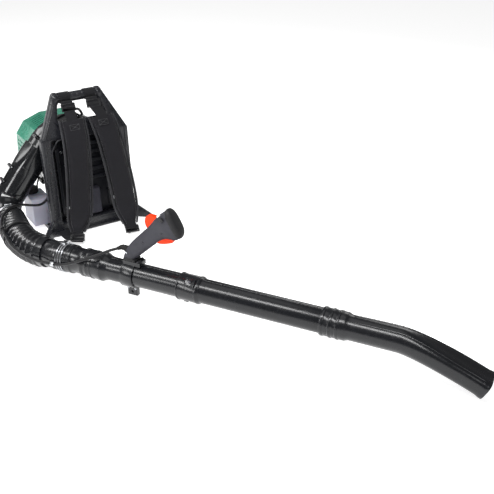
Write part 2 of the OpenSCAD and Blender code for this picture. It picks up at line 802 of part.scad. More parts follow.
// Nozzle: a collar, a straight tube, and a flattened mouth that droops to the floor.
nozzle_stations = 22;
function nozzle_s(k) = k < 8 ? 652 + k * 10 : 722 + (k - 7) * 25.4;
function droop(s) = s < 860 ? 0 : 76 * pow((s - 860) / 243, 1.45);
function flat(s) = s < 850 ? 0 : min(1, (s - 850) / 170);
module nozzle() {
    path = [for (k = [0:nozzle_stations]) on_pipe(nozzle_s(k)) - [0, 0, droop(nozzle_s(k))]];
    wide = [for (k = [0:nozzle_stations]) let (s = nozzle_s(k))
        k < 8 ? pipe_r + (k % 3 == 0 ? 5 : 3.6) : pipe_r + 1 + 5 * flat(s)];
    high = [for (k = [0:nozzle_stations]) let (s = nozzle_s(k))
        k < 8 ? pipe_r + (k % 3 == 0 ? 5 : 3.6) : pipe_r + 1 - 5 * flat(s)];
    color("#151618") difference() {
        hollow_sweep(path, wide, high, 2.4, 32);
        pipe_disc(640, 701, pipe_r + run_fit);
    }
}

clamp_s = 66;
module grip_clamp() {
    color("#1a1b1d") difference() {
        union() {
            pipe_disc(clamp_s - 20, clamp_s + 20, pipe_r + 5);
            at_pipe(clamp_s - 16) translate([-17, pipe_r, -2]) cube([34, 13, 56]);
            at_pipe(clamp_s - 15) translate([-6, -pipe_r - 34, 0]) cube([12, 36, 32]);
        }
        pipe_disc(clamp_s - 30, clamp_s + 60, pipe_r + run_fit);
        at_pipe(clamp_s + 1) translate([-10, -pipe_r - 22, 0]) rotate([0, 90, 0])
            cylinder(h = 20, r = 4.5);
    }
}
module pipe_screws() {
    color("#9a9da1") {
        for (x = [-12, 12]) at_pipe(clamp_s + 30) translate([x, pipe_r + 13.2, 0])
            rotate([-90, 0, 0]) cylinder(h = 4, r = 4);
        at_pipe(269) rotate([0, 0, 35]) translate([0, pipe_r + 7.2, 0]) rotate([-90, 0, 0])
            cylinder(h = 3, r = 5);
    }
}

// Grip frame: X across, Y up and back, Z along the grip, from its foot on the clamp.
module grip_frame() {
    at_pipe(40) translate([0, 46, 0]) rotate([-grip_tilt, 0, 0]) children();
}
module stadium(w, d) {
    circle(d = w, $fn = 48);
    translate([0, (d - w) / 2]) circle(d = w, $fn = 48);
    translate([0, -(d - w) / 2]) circle(d = w, $fn = 48);
    translate([-w / 2, -(d - w) / 2]) square([w, d - w]);
}
grip_foot = 12;
head_w = 44;
head_d = 84;
head_end = 242;
module grip_body() {
    translate([0, 0, grip_foot]) linear_extrude(grip_len + 2 - grip_foot)
        stadium(grip_w, grip_d);
    translate([0, 0, grip_len]) linear_extrude(head_end - grip_len) stadium(head_w, head_d);
}
module grip_cavity() {
    translate([0, 0, 60]) linear_extrude(head_end - 66) stadium(grip_w - 8, grip_d - 8);
    box([-8, -60, 128], [8, 0, 206]);
    box([-8, 0, 128], [8, 60, 200]);
}
saddle_top = pipe_r + 13.2;
module handle_half(side) {
    difference() {
        union() {
            grip_frame() grip_body();
            at_pipe(50) translate([-17, saddle_top - 1, 0]) cube([34, 7, 38]);
        }
        at_pipe(0) translate([-60, 0, 0]) cube([120, saddle_top, 150]);
        grip_frame() {
            grip_cavity();
            box([side > 0 ? -60 : 0, -80, -40], [side > 0 ? 0 : 60, 80, 300]);
            box([-head_w, 14, 208], [-grip_w / 2 + 4, 20, 228]);
            translate([0, -17, 201]) rotate([0, 90, 0])
                cylinder(h = 60, r = 2 + run_fit, center = true);
            translate([0, 17, 195]) rotate([0, 90, 0])
                cylinder(h = 60, r = 2 + run_fit, center = true);
        }
    }
}
module handle_shell_right() { color("#46464b") handle_half(-1); }
module handle_shell_left() { color("#46464b") handle_half(1); }

module lever_plate(outline, pivot) {
    rotate([90, 0, 90]) translate([0, 0, -7]) linear_extrude(14) polygon(outline);
    translate([0, pivot[0], pivot[1]]) rotate([0, 90, 0])
        cylinder(h = 30, r = 2, center = true);
}
module throttle_trigger() {
    color("#ff5a0c") grip_frame()
        lever_plate([[-13, 198], [-13, 204], [-24, 205], [-40, 196], [-45, 182], [-41, 166],
            [-37, 150], [-33, 136], [-26, 132], [-16, 134], [-15, 190]], [-17, 201]);
}
module throttle_lock() {
    color("#ff5a0c") grip_frame()
        lever_plate([[13, 192], [13, 198], [24, 199], [36, 192], [45, 176], [47, 158],
            [43, 142], [36, 134], [24, 134], [16, 138], [15, 184]], [17, 195]);
}
module stop_switch() {
    color("#101012") grip_frame() {
        box([-head_w / 2 - 4, 11, 212], [-head_w / 2 - 0.4, 23, 222]);
        box([-head_w / 2 - 0.6, 14.4, 212], [-grip_w / 2 + 3.6, 19.6, 220]);
    }
}

back_frame();
engine_cradle();
carry_handle();
back_panel();
spine_block();
shoulder_pad_right();
shoulder_pad_left();
upper_webbing();
lower_webbing();
ladder_locks();
vibration_mounts();
volute_front();
volute_rear();
housing_screws();
inlet_guard();
outlet_duct();
elbow_clamp();
crankcase();
main_bearings();
engine_cylinder();  // cylinder
piston();
con_rod();
spark_plug();
ignition_coil();
muffler();
carburettor();
air_filter();
filter_cover();
fuel_tank();
fuel_lines();
engine_cover();
starter_cover();
throttle_cable_rear();
fuel_cap();
choke_lever();
primer_bulb();
throttle_arm();
starter_pulley();
starter_handle();
starter_rope();
crankshaft();
flywheel();
impeller();
hose_rear();
hose_clip();
hose_front();
hose_cuff();
cuff_clamp();
throttle_cable_front();
pipe_inner();
pipe_outer();
nozzle();
grip_clamp();
pipe_screws();
handle_shell_right();
handle_shell_left();
throttle_cable_tail();
throttle_trigger();
throttle_lock();
stop_switch();
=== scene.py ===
"""Looks of the backpack leaf blower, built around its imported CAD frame. Lengths are in metres."""
import json
import math

import bmesh
import bpy
import numpy as np
from mathutils import Matrix, Vector


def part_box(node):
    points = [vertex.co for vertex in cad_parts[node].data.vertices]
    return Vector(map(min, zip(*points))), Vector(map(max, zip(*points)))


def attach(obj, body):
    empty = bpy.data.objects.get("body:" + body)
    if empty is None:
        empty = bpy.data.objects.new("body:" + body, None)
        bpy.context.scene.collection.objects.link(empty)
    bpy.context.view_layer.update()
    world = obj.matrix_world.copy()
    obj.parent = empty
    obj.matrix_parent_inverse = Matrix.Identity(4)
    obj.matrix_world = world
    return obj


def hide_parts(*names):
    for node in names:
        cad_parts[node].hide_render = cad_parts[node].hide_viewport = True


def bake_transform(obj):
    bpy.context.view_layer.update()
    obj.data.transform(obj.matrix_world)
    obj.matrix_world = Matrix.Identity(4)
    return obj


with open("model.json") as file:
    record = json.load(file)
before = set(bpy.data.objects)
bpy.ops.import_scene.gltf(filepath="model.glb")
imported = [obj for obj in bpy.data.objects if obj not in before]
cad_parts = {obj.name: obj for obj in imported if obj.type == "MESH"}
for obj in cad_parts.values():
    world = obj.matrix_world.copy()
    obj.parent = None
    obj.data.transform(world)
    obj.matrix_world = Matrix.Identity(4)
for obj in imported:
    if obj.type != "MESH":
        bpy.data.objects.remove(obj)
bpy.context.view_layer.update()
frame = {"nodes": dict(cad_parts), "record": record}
NODES = frame["nodes"]
BODY_OF = {n: b for b, ns in frame["record"]["behaviour"]["bodies"].items() for n in ns}
SLOT_OF = {s["node"]: s["material_slot"] for s in frame["record"]["subparts"]}
X, Y, Z = Vector((1, 0, 0)), Vector((0, 1, 0)), Vector((0, 0, 1))
MM = 0.001

# ---- Driving dimensions, as in the CAD model ----
FRAME_T = 0.032
KINK_Z = 0.342
LEAN_LOW, LEAN_TOP = math.radians(3.4), math.radians(19)
KINK_Y = KINK_Z * math.tan(LEAN_LOW)
TUBE_UP, TUBE_R, TUBE_HALF = 0.128, 0.016, 0.074
WINDOW_HALF, WINDOW_LOW, WINDOW_HIGH = 0.117, 0.045, 0.335
AXIS_X, AXIS_Z, FAN_Y = -0.012, 0.214, 0.120
DUCT_ANGLE = math.radians(142)
DUCT_DIST, DUCT_R, DUCT_START, DUCT_LEN, ELBOW_R = 0.142, 0.049, 0.0954, 0.195, 0.070
HOSE_R, HOSE_RINGS, HOSE_WALL = 0.050, 8, 0.003
PIPE_TURN = math.radians(32.4)
PIPE_START = Vector((-0.150, -0.495, 0.112))
PIPE_DIR = Vector((math.sin(PIPE_TURN), -math.cos(PIPE_TURN), 0))
PIPE_SIDE = Vector((math.cos(PIPE_TURN), math.sin(PIPE_TURN), 0))
PIPE_R = 0.035
CUFF_S = -0.232
GRIP_TILT = math.radians(43)
CABLE_R = 0.0045
WEB_W, WEB_T = 0.038, 0.0022
SIDES = ((-1, "right"), (1, "left"))

CAMERA_AT = (-0.932, -2.454, 1.282)
CAMERA_DOWN, CAMERA_TURN, CAMERA_LENS = 27.93, 32.464, 59.25

DUCT_OUT = Vector((math.cos(DUCT_ANGLE), 0, math.sin(DUCT_ANGLE)))
DUCT_DIR = Vector((-math.sin(DUCT_ANGLE), 0, math.cos(DUCT_ANGLE)))
DUCT_FOOT = Vector((AXIS_X, FAN_Y, AXIS_Z)) + DUCT_DIST * DUCT_OUT
ELBOW_IN = DUCT_FOOT + DUCT_LEN * DUCT_DIR
ELBOW_OUT = ELBOW_IN + ELBOW_R * DUCT_DIR - ELBOW_R * Y
HOSE_A = ELBOW_OUT
HOSE_B = HOSE_A + Vector((-0.010, -0.120, 0.002))
HOSE_D = PIPE_START + CUFF_S * PIPE_DIR
HOSE_C = HOSE_D - 0.125 * PIPE_DIR
HOSE_MIDDLE = 0.5


def bezier(u):
    """A point on the hose's centre line."""
    return ((1 - u) ** 3 * HOSE_A + 3 * u * (1 - u) ** 2 * HOSE_B
            + 3 * u * u * (1 - u) * HOSE_C + u ** 3 * HOSE_D)


def on_pipe(s, across=0.0, up=0.0):
    """A point at distance s along the pipe, moved across it and up."""
    return PIPE_START + s * PIPE_DIR + across * PIPE_SIDE + up * Z


def in_grip(x, y, z):
    """A point in the grip's own frame: x across, y up and back, z along the grip."""
    up = y * math.cos(GRIP_TILT) + z * math.sin(GRIP_TILT)
    along = -y * math.sin(GRIP_TILT) + z * math.cos(GRIP_TILT)
    return on_pipe(0.040 + along, x, 0.046 + up)


def in_shoulder(x, y, z):
    """A point in the frame of the back frame's sloping shoulders."""
    c, s = math.cos(LEAN_TOP), math.sin(LEAN_TOP)
    return Vector((x, KINK_Y + y * c + z * s, KINK_Z - y * s + z * c))


def in_lean(x, y, z):
    """A point in the frame of the back frame's lower part."""
    c, s = math.cos(LEAN_LOW), math.sin(LEAN_LOW)
    return Vector((x, y * c + z * s, -y * s + z * c))


def steps(low, high, count):
    """Evenly spaced numbers from low to high."""
    return [low + (high - low) * k / (count - 1) for k in range(count)]


def level(degrees):
    """Level direction at an angle from the X axis."""
    angle = math.radians(degrees)
    return Vector((math.cos(angle), math.sin(angle), 0))


def eased(u):
    """Rises smoothly from 0 to 1 as u does."""
    return u * u * (3 - 2 * u)


def curve(points, parts):
    """Catmull-Rom curve through the points."""
    p = [Vector(q) for q in points]
    p = [2 * p[0] - p[1]] + p + [2 * p[-1] - p[-2]]
    out = []
    for i in range(1, len(p) - 2):
        a, b, c, d = p[i - 1:i + 3]
        for k in range(parts):
            u = k / parts
            out.append(0.5 * (2 * b + (c - a) * u + (2 * a - 5 * b + 4 * c - d) * u * u
                              + (3 * b - a - 3 * c + d) * u ** 3))
    return out + [p[-2]]


# ---- Materials ----

def noise(nt, where, scale, detail=3.0):
    node = nt.nodes.new("ShaderNodeTexNoise")
    node.inputs["Scale"].default_value = scale
    node.inputs["Detail"].default_value = detail
    nt.links.new(where, node.inputs["Vector"])
    return node.outputs["Fac"]


def spread(nt, value, low, high, start=0.3, end=0.7):
    node = nt.nodes.new("ShaderNodeMapRange")
    for key, number in (("From Min", start), ("From Max", end), ("To Min", low), ("To Max", high)):
        node.inputs[key].default_value = number
    nt.links.new(value, node.inputs["Value"])
    return node.outputs["Result"]


def mixed(nt, factor, a, b):
    node = nt.nodes.new("ShaderNodeMix")
    node.data_type = "RGBA"
    nt.links.new(factor, node.inputs[0])
    for socket, value in ((node.inputs[6], a), (node.inputs[7], b)):
        if hasattr(value, "default_value"):
            nt.links.new(value, socket)
        else:
            socket.default_value = (*value, 1)
    return node.outputs[2]


def raised(nt, shader, height, distance, strength=1.0):
    node = nt.nodes.new("ShaderNodeBump")
    node.inputs["Distance"].default_value = distance
    node.inputs["Strength"].default_value = strength
    nt.links.new(height, node.inputs["Height"])
    nt.links.new(node.outputs["Normal"], shader.inputs["Normal"])


def start_material(name, sockets):
    mat = bpy.data.materials.new(name)
    mat.use_nodes = True
    nt = mat.node_tree
    shader = nt.nodes["Principled BSDF"]
    for key, value in sockets.items():
        shader.inputs[key].default_value = value
    where = nt.nodes.new("ShaderNodeTexCoord").outputs["Object"]
    return mat, nt, shader, where


def solid(name, color, rough, vary=0.18, rough_vary=0.07, grain=1100.0, depth=0.00003,
          blotch=16.0, worn=0.0, **sockets):
    """Moulded, cast or painted surface: soft blotches, fine grain and paler worn edges."""
    mat, nt, shader, where = start_material(name, sockets)
    patches = noise(nt, where, blotch, 6.0)
    fine = noise(nt, where, grain, 2.0)
    if max(color) < 0.05 and "Specular IOR Level" not in sockets:
        shader.inputs["Specular IOR Level"].default_value = 0.24
    dark = tuple(c * (1 - vary) for c in color)
    pale = tuple(min(1.0, c * (1 + vary)) for c in color)
    tone = mixed(nt, spread(nt, patches, 0, 1), dark, pale)
    if worn:
        edges = nt.nodes.new("ShaderNodeNewGeometry").outputs["Pointiness"]
        rubbed = spread(nt, edges, 0.0, worn, 0.51, 0.60)
        tone = mixed(nt, rubbed, tone, tuple(min(1.0, c * 2.0 + 0.012) for c in color))
    nt.links.new(tone, shader.inputs["Base Color"])
    rough_at = spread(nt, noise(nt, where, blotch * 5, 5.0), rough - rough_vary, rough + rough_vary)
    nt.links.new(rough_at, shader.inputs["Roughness"])
    raised(nt, shader, fine, depth)
    return mat


def woven(name, color, thread, ribbed=False, depth=0.00025, vary=0.3):
    """Cloth or webbing: crossing strands of the given width, with fibres and colour drift, and painted
    shade darkening the grooves between them.
    """
    mat, nt, shader, where = start_material(name, {
        "Sheen Weight": 0.08, "Sheen Roughness": 0.5, "Specular IOR Level": 0.15})
    height = None
    for direction in ("Z",) if ribbed else ("X", "Z"):
        wave = nt.nodes.new("ShaderNodeTexWave")
        wave.bands_direction = direction
        wave.inputs["Scale"].default_value = 0.314 / thread
        wave.inputs["Distortion"].default_value = 0.6
        wave.inputs["Detail Scale"].default_value = 2.0
        nt.links.new(where, wave.inputs["Vector"])
        if height is None:
            height = wave.outputs["Fac"]
        else:
            product = nt.nodes.new("ShaderNodeMath")
            product.operation = "MULTIPLY"
            nt.links.new(height, product.inputs[0])
            nt.links.new(wave.outputs["Fac"], product.inputs[1])
            height = product.outputs["Value"]
    drift = noise(nt, where, 30.0, 6.0)
    dark = tuple(c * (1 - vary) for c in color)
    pale = tuple(c * (1 + vary) for c in color)
    cloth = mixed(nt, spread(nt, drift, 0, 1), dark, pale)
    # Painted shade: where the weave is low, between the strands, the colour drops to 0.55 of the cloth's.
    groove_shaded_threads = mixed(nt, height, tuple(c * 0.55 for c in color), cloth)
    nt.links.new(groove_shaded_threads, shader.inputs["Base Color"])
    nt.links.new(spread(nt, drift, 0.78, 0.95), shader.inputs["Roughness"])
    raised(nt, shader, height, depth, 0.8)
    return mat


MATERIALS = {
    "frame_plastic": solid("frame_plastic", (0.0085, 0.009, 0.012), 0.3,
                           depth=0.00001, **{"Specular IOR Level": 0.45}),
    "panel_plastic": solid("panel_plastic", (0.006, 0.0065, 0.009), 0.33, worn=0.5),
    "block_foam": solid("block_foam", (0.026, 0.026, 0.036), 0.62, grain=600, depth=0.0002),
    "pad_fabric": woven("pad_fabric", (0.0155, 0.015, 0.0185), 0.0016),
    "webbing": woven("webbing", (0.012, 0.012, 0.014), 0.0022, ribbed=True, depth=0.0005),
    "buckle_plastic": solid("buckle_plastic", (0.011, 0.011, 0.012), 0.42, worn=0.5),
    "mount_rubber": solid("mount_rubber", (0.009, 0.009, 0.009), 0.75),
    "housing_plastic": solid("housing_plastic", (0.0055, 0.006, 0.007), 0.16, rough_vary=0.03,
                             worn=0.3, depth=0.000004, **{"Specular IOR Level": 0.5}),
    "screw_steel": solid("screw_steel", (0.42, 0.43, 0.45), 0.3, Metallic=1.0, vary=0.15),
    "cast_aluminium": solid("cast_aluminium", (0.5, 0.51, 0.52), 0.45, Metallic=0.9,
                            grain=500, depth=0.0002),
    "forged_steel": solid("forged_steel", (0.4, 0.41, 0.43), 0.35, Metallic=1.0),
    "plug_ceramic": solid("plug_ceramic", (0.78, 0.77, 0.73), 0.12, vary=0.03),
    "muffler_steel": solid("muffler_steel", (0.2, 0.17, 0.14), 0.5, Metallic=0.85, vary=0.4,
                           blotch=25, grain=300, depth=0.0001),
    "filter_foam": solid("filter_foam", (0.6, 0.5, 0.27), 0.85, grain=350, depth=0.0006),
    "tank_plastic": solid("tank_plastic", (0.30, 0.295, 0.36), 0.42, vary=0.1,
                          grain=400, depth=0.00008, **{"Subsurface Weight": 0.15,
                                                       "Subsurface Scale": 0.004}),
    "cover_teal": solid("cover_teal", (0.022, 0.165, 0.105), 0.28, vary=0.14, worn=0.3),
    "cable_sleeve": solid("cable_sleeve", (0.009, 0.009, 0.01), 0.4),
    "cap_plastic": solid("cap_plastic", (0.011, 0.011, 0.012), 0.42, worn=0.5),
    "lever_orange": solid("lever_orange", (0.80, 0.036, 0.0005), 0.42, vary=0.08, depth=0.00002,
                          **{"Specular IOR Level": 0.18}),
    "primer_clear": solid("primer_clear", (0.7, 0.72, 0.74), 0.3, vary=0.05,
                          **{"Transmission Weight": 0.4}),
    "pulley_nylon": solid("pulley_nylon", (0.68, 0.68, 0.65), 0.5),
    "starter_cord": woven("starter_cord", (0.7, 0.66, 0.55), 0.0012, depth=0.0002),
    "hose_rubber": solid("hose_rubber", (0.006, 0.0065, 0.008), 0.24, rough_vary=0.03, depth=0.000003,
                         **{"Specular IOR Level": 0.5}),
    "pipe_plastic": solid("pipe_plastic", (0.005, 0.0055, 0.007), 0.25, rough_vary=0.035,
                          grain=500, depth=0.000006, worn=0.3, **{"Specular IOR Level": 0.42}),
    "grip_plastic": solid("grip_plastic", (0.027, 0.027, 0.034), 0.5, grain=900,
                          depth=0.00012, worn=0.4),
}
STITCH = solid("stitch_thread", (0.055, 0.055, 0.06), 0.7)
BINDING = woven("binding_tape", (0.030, 0.030, 0.034), 0.0012, ribbed=True)
SCREW_BLACK = solid("oxide_screw", (0.04, 0.04, 0.045), 0.32, Metallic=0.8)
HEAD_DARK = solid("head_insert", (0.012, 0.012, 0.013), 0.55, grain=500, depth=0.0002)


# ---- Mesh building ----

def new_object(name, bm):
    mesh = bpy.data.meshes.new(name)
    bmesh.ops.recalc_face_normals(bm, faces=bm.faces)
    bm.to_mesh(mesh)
    bm.free()
    obj = bpy.data.objects.new(name, mesh)
    bpy.context.scene.collection.objects.link(obj)
    return obj


def applied(obj):
    """Replaces the mesh by what its modifiers make of it."""
    graph = bpy.context.evaluated_depsgraph_get()
    mesh = bpy.data.meshes.new_from_object(obj.evaluated_get(graph))
    obj.modifiers.clear()
    obj.data = mesh
    return obj


def smooth(obj, degrees=35):
    obj.data.polygons.foreach_set("use_smooth", [True] * len(obj.data.polygons))
    obj.data.set_sharp_from_angle(angle=math.radians(degrees))
    return obj


def rounded(obj, width, segments=2, angle=30):
    """Rounds the edges sharper than the angle."""
    mod = obj.modifiers.new("round", "BEVEL")
    mod.width = width
    mod.segments = segments
    mod.limit_method = "ANGLE"
    mod.angle_limit = math.radians(angle)
    mod.harden_normals = True
    obj.data.polygons.foreach_set("use_smooth", [True] * len(obj.data.polygons))
    return applied(obj)


def joined(name, objects):
    """One mesh from several objects, which are removed."""
    bm = bmesh.new()
    for o in objects:
        bm.from_mesh(o.data)
        bpy.data.objects.remove(o)
    obj = new_object(name, bm)
    return smooth(obj)


def placed(obj, slot, body, *nodes, material=None):
    """Gives a piece its finish, its body and the CAD nodes that it stands for."""
    obj.data.materials.clear()
    obj.data.materials.append(material or MATERIALS[slot])
    if body:
        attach(obj, body)
    if nodes:
        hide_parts(*nodes)
    return obj


def skin(bm, rings, cyclic=False):
    """Adds a skin over closed rings of equal point count, its ends closed or joined up."""
    rows = [[bm.verts.new(p) for p in ring] for ring in rings]
    count = len(rows[0])
    pairs = list(zip(rows, rows[1:])) + ([(rows[-1], rows[0])] if cyclic else [])
    for a, b in pairs:
        for j in range(count):
            k = (j + 1) % count
            bm.faces.new((a[j], a[k], b[k], b[j]))
    if not cyclic:
        bm.faces.new(rows[0])
        bm.faces.new(rows[-1])


def loft(name, rings, cyclic=False):
    """A new object that is one such skin."""
    bm = bmesh.new()
    skin(bm, rings, cyclic)
    return new_object(name, bm)


def around(center, a, b, radius_a, radius_b, sides, power=2.0):
    """Ring of points: an ellipse, or a squarer shape at a higher power."""
    out = []
    for j in range(sides):
        t = 2 * math.pi * j / sides
        c, s = math.cos(t), math.sin(t)
        x = math.copysign(abs(c) ** (2 / power), c)
        y = math.copysign(abs(s) ** (2 / power), s)
        out.append(center + radius_a * x * a + radius_b * y * b)
    return out


def headings(path, side=None):
    """Tangent and two cross directions at each point, without twist."""
    out = []
    a = side.copy() if side else None
    for i in range(len(path)):
        t = (path[min(i + 1, len(path) - 1)] - path[max(i - 1, 0)]).normalized()
        a = t.orthogonal() if a is None else (side if side else a)
        a = (a - t * a.dot(t)).normalized()
        out.append((t, a, t.cross(a)))
    return out


def tube(name, path, radii, sides=24, wall=None):
    """Round sweep; with a wall it is a hollow one."""
    frames = headings(path)
    outer = [around(p, a, b, r, r, sides) for p, (_, a, b), r in zip(path, frames, radii)]
    if wall is None:
        return smooth(loft(name, outer))
    inner = [around(p, a, b, r - wall, r - wall, sides)
             for p, (_, a, b), r in zip(path, frames, radii)]
    return smooth(loft(name, outer + inner[::-1], cyclic=True))


def ribbon(name, path, side):
    """Webbing along a path, its width along the side direction."""
    rings = [around(p, a, b, WEB_W / 2, WEB_T / 2, 16, 8.0)
             for p, (_, a, b) in zip(path, headings(path, side))]
    return placed(smooth(loft(name, rings)), "webbing", "root")


def revolved(name, start, axis, profile, sides=64, bevel=0.0006):
    """Solid of revolution from a closed profile of (distance along, radius) points."""
    a = axis.orthogonal().normalized()
    b = axis.cross(a)
    rings = [around(start + s * axis, a, b, r, r, sides) for s, r in profile]
    obj = loft(name, rings, cyclic=True)
    return rounded(obj, bevel) if bevel else smooth(obj)


def cube(name, place):
    """Unit cube about the origin, its corners moved to where place says."""
    bm = bmesh.new()
    bmesh.ops.create_cube(bm, size=1.0)
    for v in bm.verts:
        v.co = place(v.co)
    return new_object(name, bm)


def block(name, at, size, turn=(X, Y, Z), bevel=0.001):
    """Rounded block with its centre at a point; turn holds its three directions."""
    def place(v):
        return at + sum((v[i] * size[i] * turn[i] for i in range(3)), Vector())
    return rounded(cube(name, place), bevel, 3)


def bolt_head(name, at, axis, radius, high, recess=True):
    """Pan head with a hexagon socket."""
    a = axis.orthogonal().normalized()
    b = axis.cross(a)
    levels = [(0, radius), (high * 0.7, radius), (high, radius * 0.8), (high, radius * 0.5)]
    rings = [around(at + z * axis, a, b, r, r, 24) for z, r in levels]
    if recess:
        rings.append(around(at + high * 0.35 * axis, a, b, radius * 0.5, radius * 0.5, 24))
    return smooth(loft(name, rings), 40)


def welded_copy(node):
    """A CAD node's mesh to build on, with the points that share a place made one."""
    bm = bmesh.new()
    bm.from_mesh(NODES[node].data)
    bmesh.ops.remove_doubles(bm, verts=bm.verts, dist=1e-6)
    return bm


def softened(node, width, segments=2, material=None):
    """A copy of a CAD node with rounded edges, shown in its place."""
    bm = welded_copy(node)
    bmesh.ops.dissolve_limit(bm, angle_limit=math.radians(0.8), verts=bm.verts, edges=bm.edges)
    obj = rounded(new_object(node + "_shell", bm), width, segments)
    return placed(obj, SLOT_OF[node], BODY_OF[node], node, material=material)


def melted(node, rounds, voxel=0.002):
    """A copy of a CAD node whose edges are all rounded like a thick moulding's."""
    obj = new_object(node + "_moulding", welded_copy(node))
    mod = obj.modifiers.new("remesh", "REMESH")
    mod.mode = "VOXEL"
    mod.voxel_size = voxel
    mod = obj.modifiers.new("soft", "SMOOTH")
    mod.factor = 0.5
    mod.iterations = rounds
    smooth(applied(obj), 70)
    return placed(obj, SLOT_OF[node], BODY_OF[node], node)


# ---- Camera, light and floor ----

def area_light(name, at, rotation, power, size, size_y=None):
    """Square light, or an oblong one where its second size is given."""
    light = bpy.data.lights.new(name, "AREA")
    light.shape = "RECTANGLE" if size_y else "SQUARE"
    light.size = size
    if size_y:
        light.size_y = size_y
    light.energy = power
    obj = bpy.data.objects.new(name, light)
    obj.location = at
    obj.rotation_euler = rotation
    bpy.context.scene.collection.objects.link(obj)


def studio():
    scene = bpy.context.scene
    camera = bpy.data.objects.new("camera", bpy.data.cameras.new("camera"))
    camera.data.sensor_width = 36.0
    camera.data.lens = CAMERA_LENS
    camera.data.clip_end = 50
    camera.location = CAMERA_AT
    camera.rotation_euler = (math.radians(90 - CAMERA_DOWN), 0, math.radians(-CAMERA_TURN))
    scene.collection.objects.link(camera)
    scene.camera = camera

    world = bpy.data.worlds.new("studio")
    world.use_nodes = True
    nt = world.node_tree
    sky = nt.nodes["Background"]
    sky.inputs["Color"].default_value = (1.0, 1.0, 1.0, 1)
    seen = nt.nodes.new("ShaderNodeLightPath").outputs["Is Camera Ray"]
    nt.links.new(spread(nt, seen, 0.2, 0.97, 0.0, 1.0), sky.inputs["Strength"])
    scene.world = world
    scene.view_settings.view_transform = "Standard"

    # The strip lies along the pipe, so that its reflection is one long line on it.
    strip_at = on_pipe(-0.30, -0.95, 1.75)
    aim = on_pipe(0.30)
    back = (strip_at - on_pipe(-0.30)).normalized()
    across = back.cross(PIPE_DIR).normalized()
    turn = Matrix((PIPE_DIR, across, PIPE_DIR.cross(across))).transposed()
    turn = turn if (turn @ Z).dot(back) > 0 else turn @ Matrix.Rotation(math.pi, 3, "X")
    area_light("strip", strip_at, turn.to_euler(), 66.0, 3.0, 0.32)
    lights = (("top", (0.3, -0.3, 3.2), 2.0, 12.0), ("left", (-2.3, -0.6, 1.1), 0.5, 14.0),
              ("front", (0.4, -3.2, 1.9), 0.9, 9.0), ("rear", (-1.2, 2.2, 1.6), 1.2, 20.0),
              ("right", (2.4, 0.4, 1.6), 1.0, 12.0))
    for name, at, size, power in lights:
        facing = (aim - Vector(at)).to_track_quat("-Z", "Y").to_euler()
        area_light(name, at, facing, power, size)

    bm = bmesh.new()
    bmesh.ops.create_grid(bm, x_segments=1, y_segments=1, size=30)
    floor = new_object("floor", bm)
    floor.location = (0, 0, -0.0005)
    paper = solid("floor_paper", (0.85, 0.85, 0.85), 0.7, vary=0.01, **{
        "Emission Color": (1.0, 1.0, 1.0, 1), "Emission Strength": 0.7,
        "Specular IOR Level": 0.1})
    floor.data.materials.append(paper)


# ---- Back frame ----

def back_frame():
    melted("back_frame", 60)
    softened("back_panel", 0.0015)
    melted("spine_block", 10)
    softened("engine_cradle", 0.002)
    softened("vibration_mounts", 0.002)
    # Raised rim round the window, its top corners cut.
    out = WINDOW_HALF + 0.006
    low, high, cut = WINDOW_LOW - 0.005, WINDOW_HIGH + 0.002, 0.035
    corners = [(-out, low), (out, low), (out, high - cut), (out - cut * 0.7, high),
               (-out + cut * 0.7, high), (-out, high - cut)]
    path = []
    for i, (x, z) in enumerate(corners):
        before, after = Vector(corners[i - 1]), Vector(corners[(i + 1) % len(corners)])
        here = Vector((x, z))
        for k in range(7):
            u = k / 6
            a = here + (before - here).normalized() * 0.012
            b = here + (after - here).normalized() * 0.012
            path.append((1 - u) ** 2 * a + 2 * u * (1 - u) * here + u * u * b)
    ring = [in_lean(p.x, -0.0005, p.y) for p in path]
    rows = []
    for i, p in enumerate(ring):
        t = (ring[(i + 1) % len(ring)] - ring[i - 1]).normalized()
        b = t.cross(Y).normalized()
        rows.append(around(p, Y, b, 0.0025, 0.0028, 12))
    placed(smooth(loft("window_rim", rows, cyclic=True)), "frame_plastic", "root")
    upright = (X, in_lean(0, 1, 0), in_lean(0, 0, 1))
    # Stiffening ribs on the sloping shoulders and sides of the frame.
    for side, word in SIDES:
        rib = [in_lean(side * 0.1415, -0.0005, z) for z in steps(0.03, 0.335, 20)]
        rib += [in_shoulder(side * (0.1415 - 0.50 * z), -0.0005, z)
                for z in steps(0.006, 0.118, 10)]
        radii = [0.0022 * min(1, 4 * i / 29 + 0.1, 4 * (29 - i) / 29 + 0.1) for i in range(30)]
        placed(tube(f"side_rib_{word}", rib, radii, 12), "frame_plastic", "root")
        rail = block(f"pocket_rail_{word}", in_lean(side * 0.1015, 0.0235, 0.185), (0.012, 0.014, 0.235),
                     upright, 0.003)
        placed(rail, "panel_plastic", "root")
        for z in (0.085, 0.285):
            at = in_lean(side * 0.0855, FRAME_T - 0.0055, z)
            bolt = bolt_head(f"panel_bolt_{word[0]}_{int(z * 1000)}", at, in_lean(0, -1, 0),
                             0.006, 0.0045)
            placed(bolt, "screw_steel", "root")
    for k in range(5):
        slat = block(f"panel_slat_{k}", in_lean(0, 0.0275, 0.175 + 0.031 * k),
                     (0.150, 0.006, 0.012), upright, 0.0025)
        placed(slat, "panel_plastic", "root")


def carry_handle():
    start = in_shoulder(-TUBE_HALF, FRAME_T / 2, TUBE_UP)
    profile = [(0, 0.004), (0, TUBE_R)]
    for k in range(7):
        x = 0.022 + 0.0173 * k
        profile += [(x - 0.0014, TUBE_R), (x - 0.0007, TUBE_R - 0.0006), (x + 0.0007, TUBE_R - 0.0006),
                    (x + 0.0014, TUBE_R)]
    profile += [(2 * TUBE_HALF, TUBE_R), (2 * TUBE_HALF, 0.004)]
    tube_piece = revolved("carry_tube", start, X, profile, 48, 0)
    placed(tube_piece, "frame_plastic", "root", "carry_handle")


# ---- Harness ----

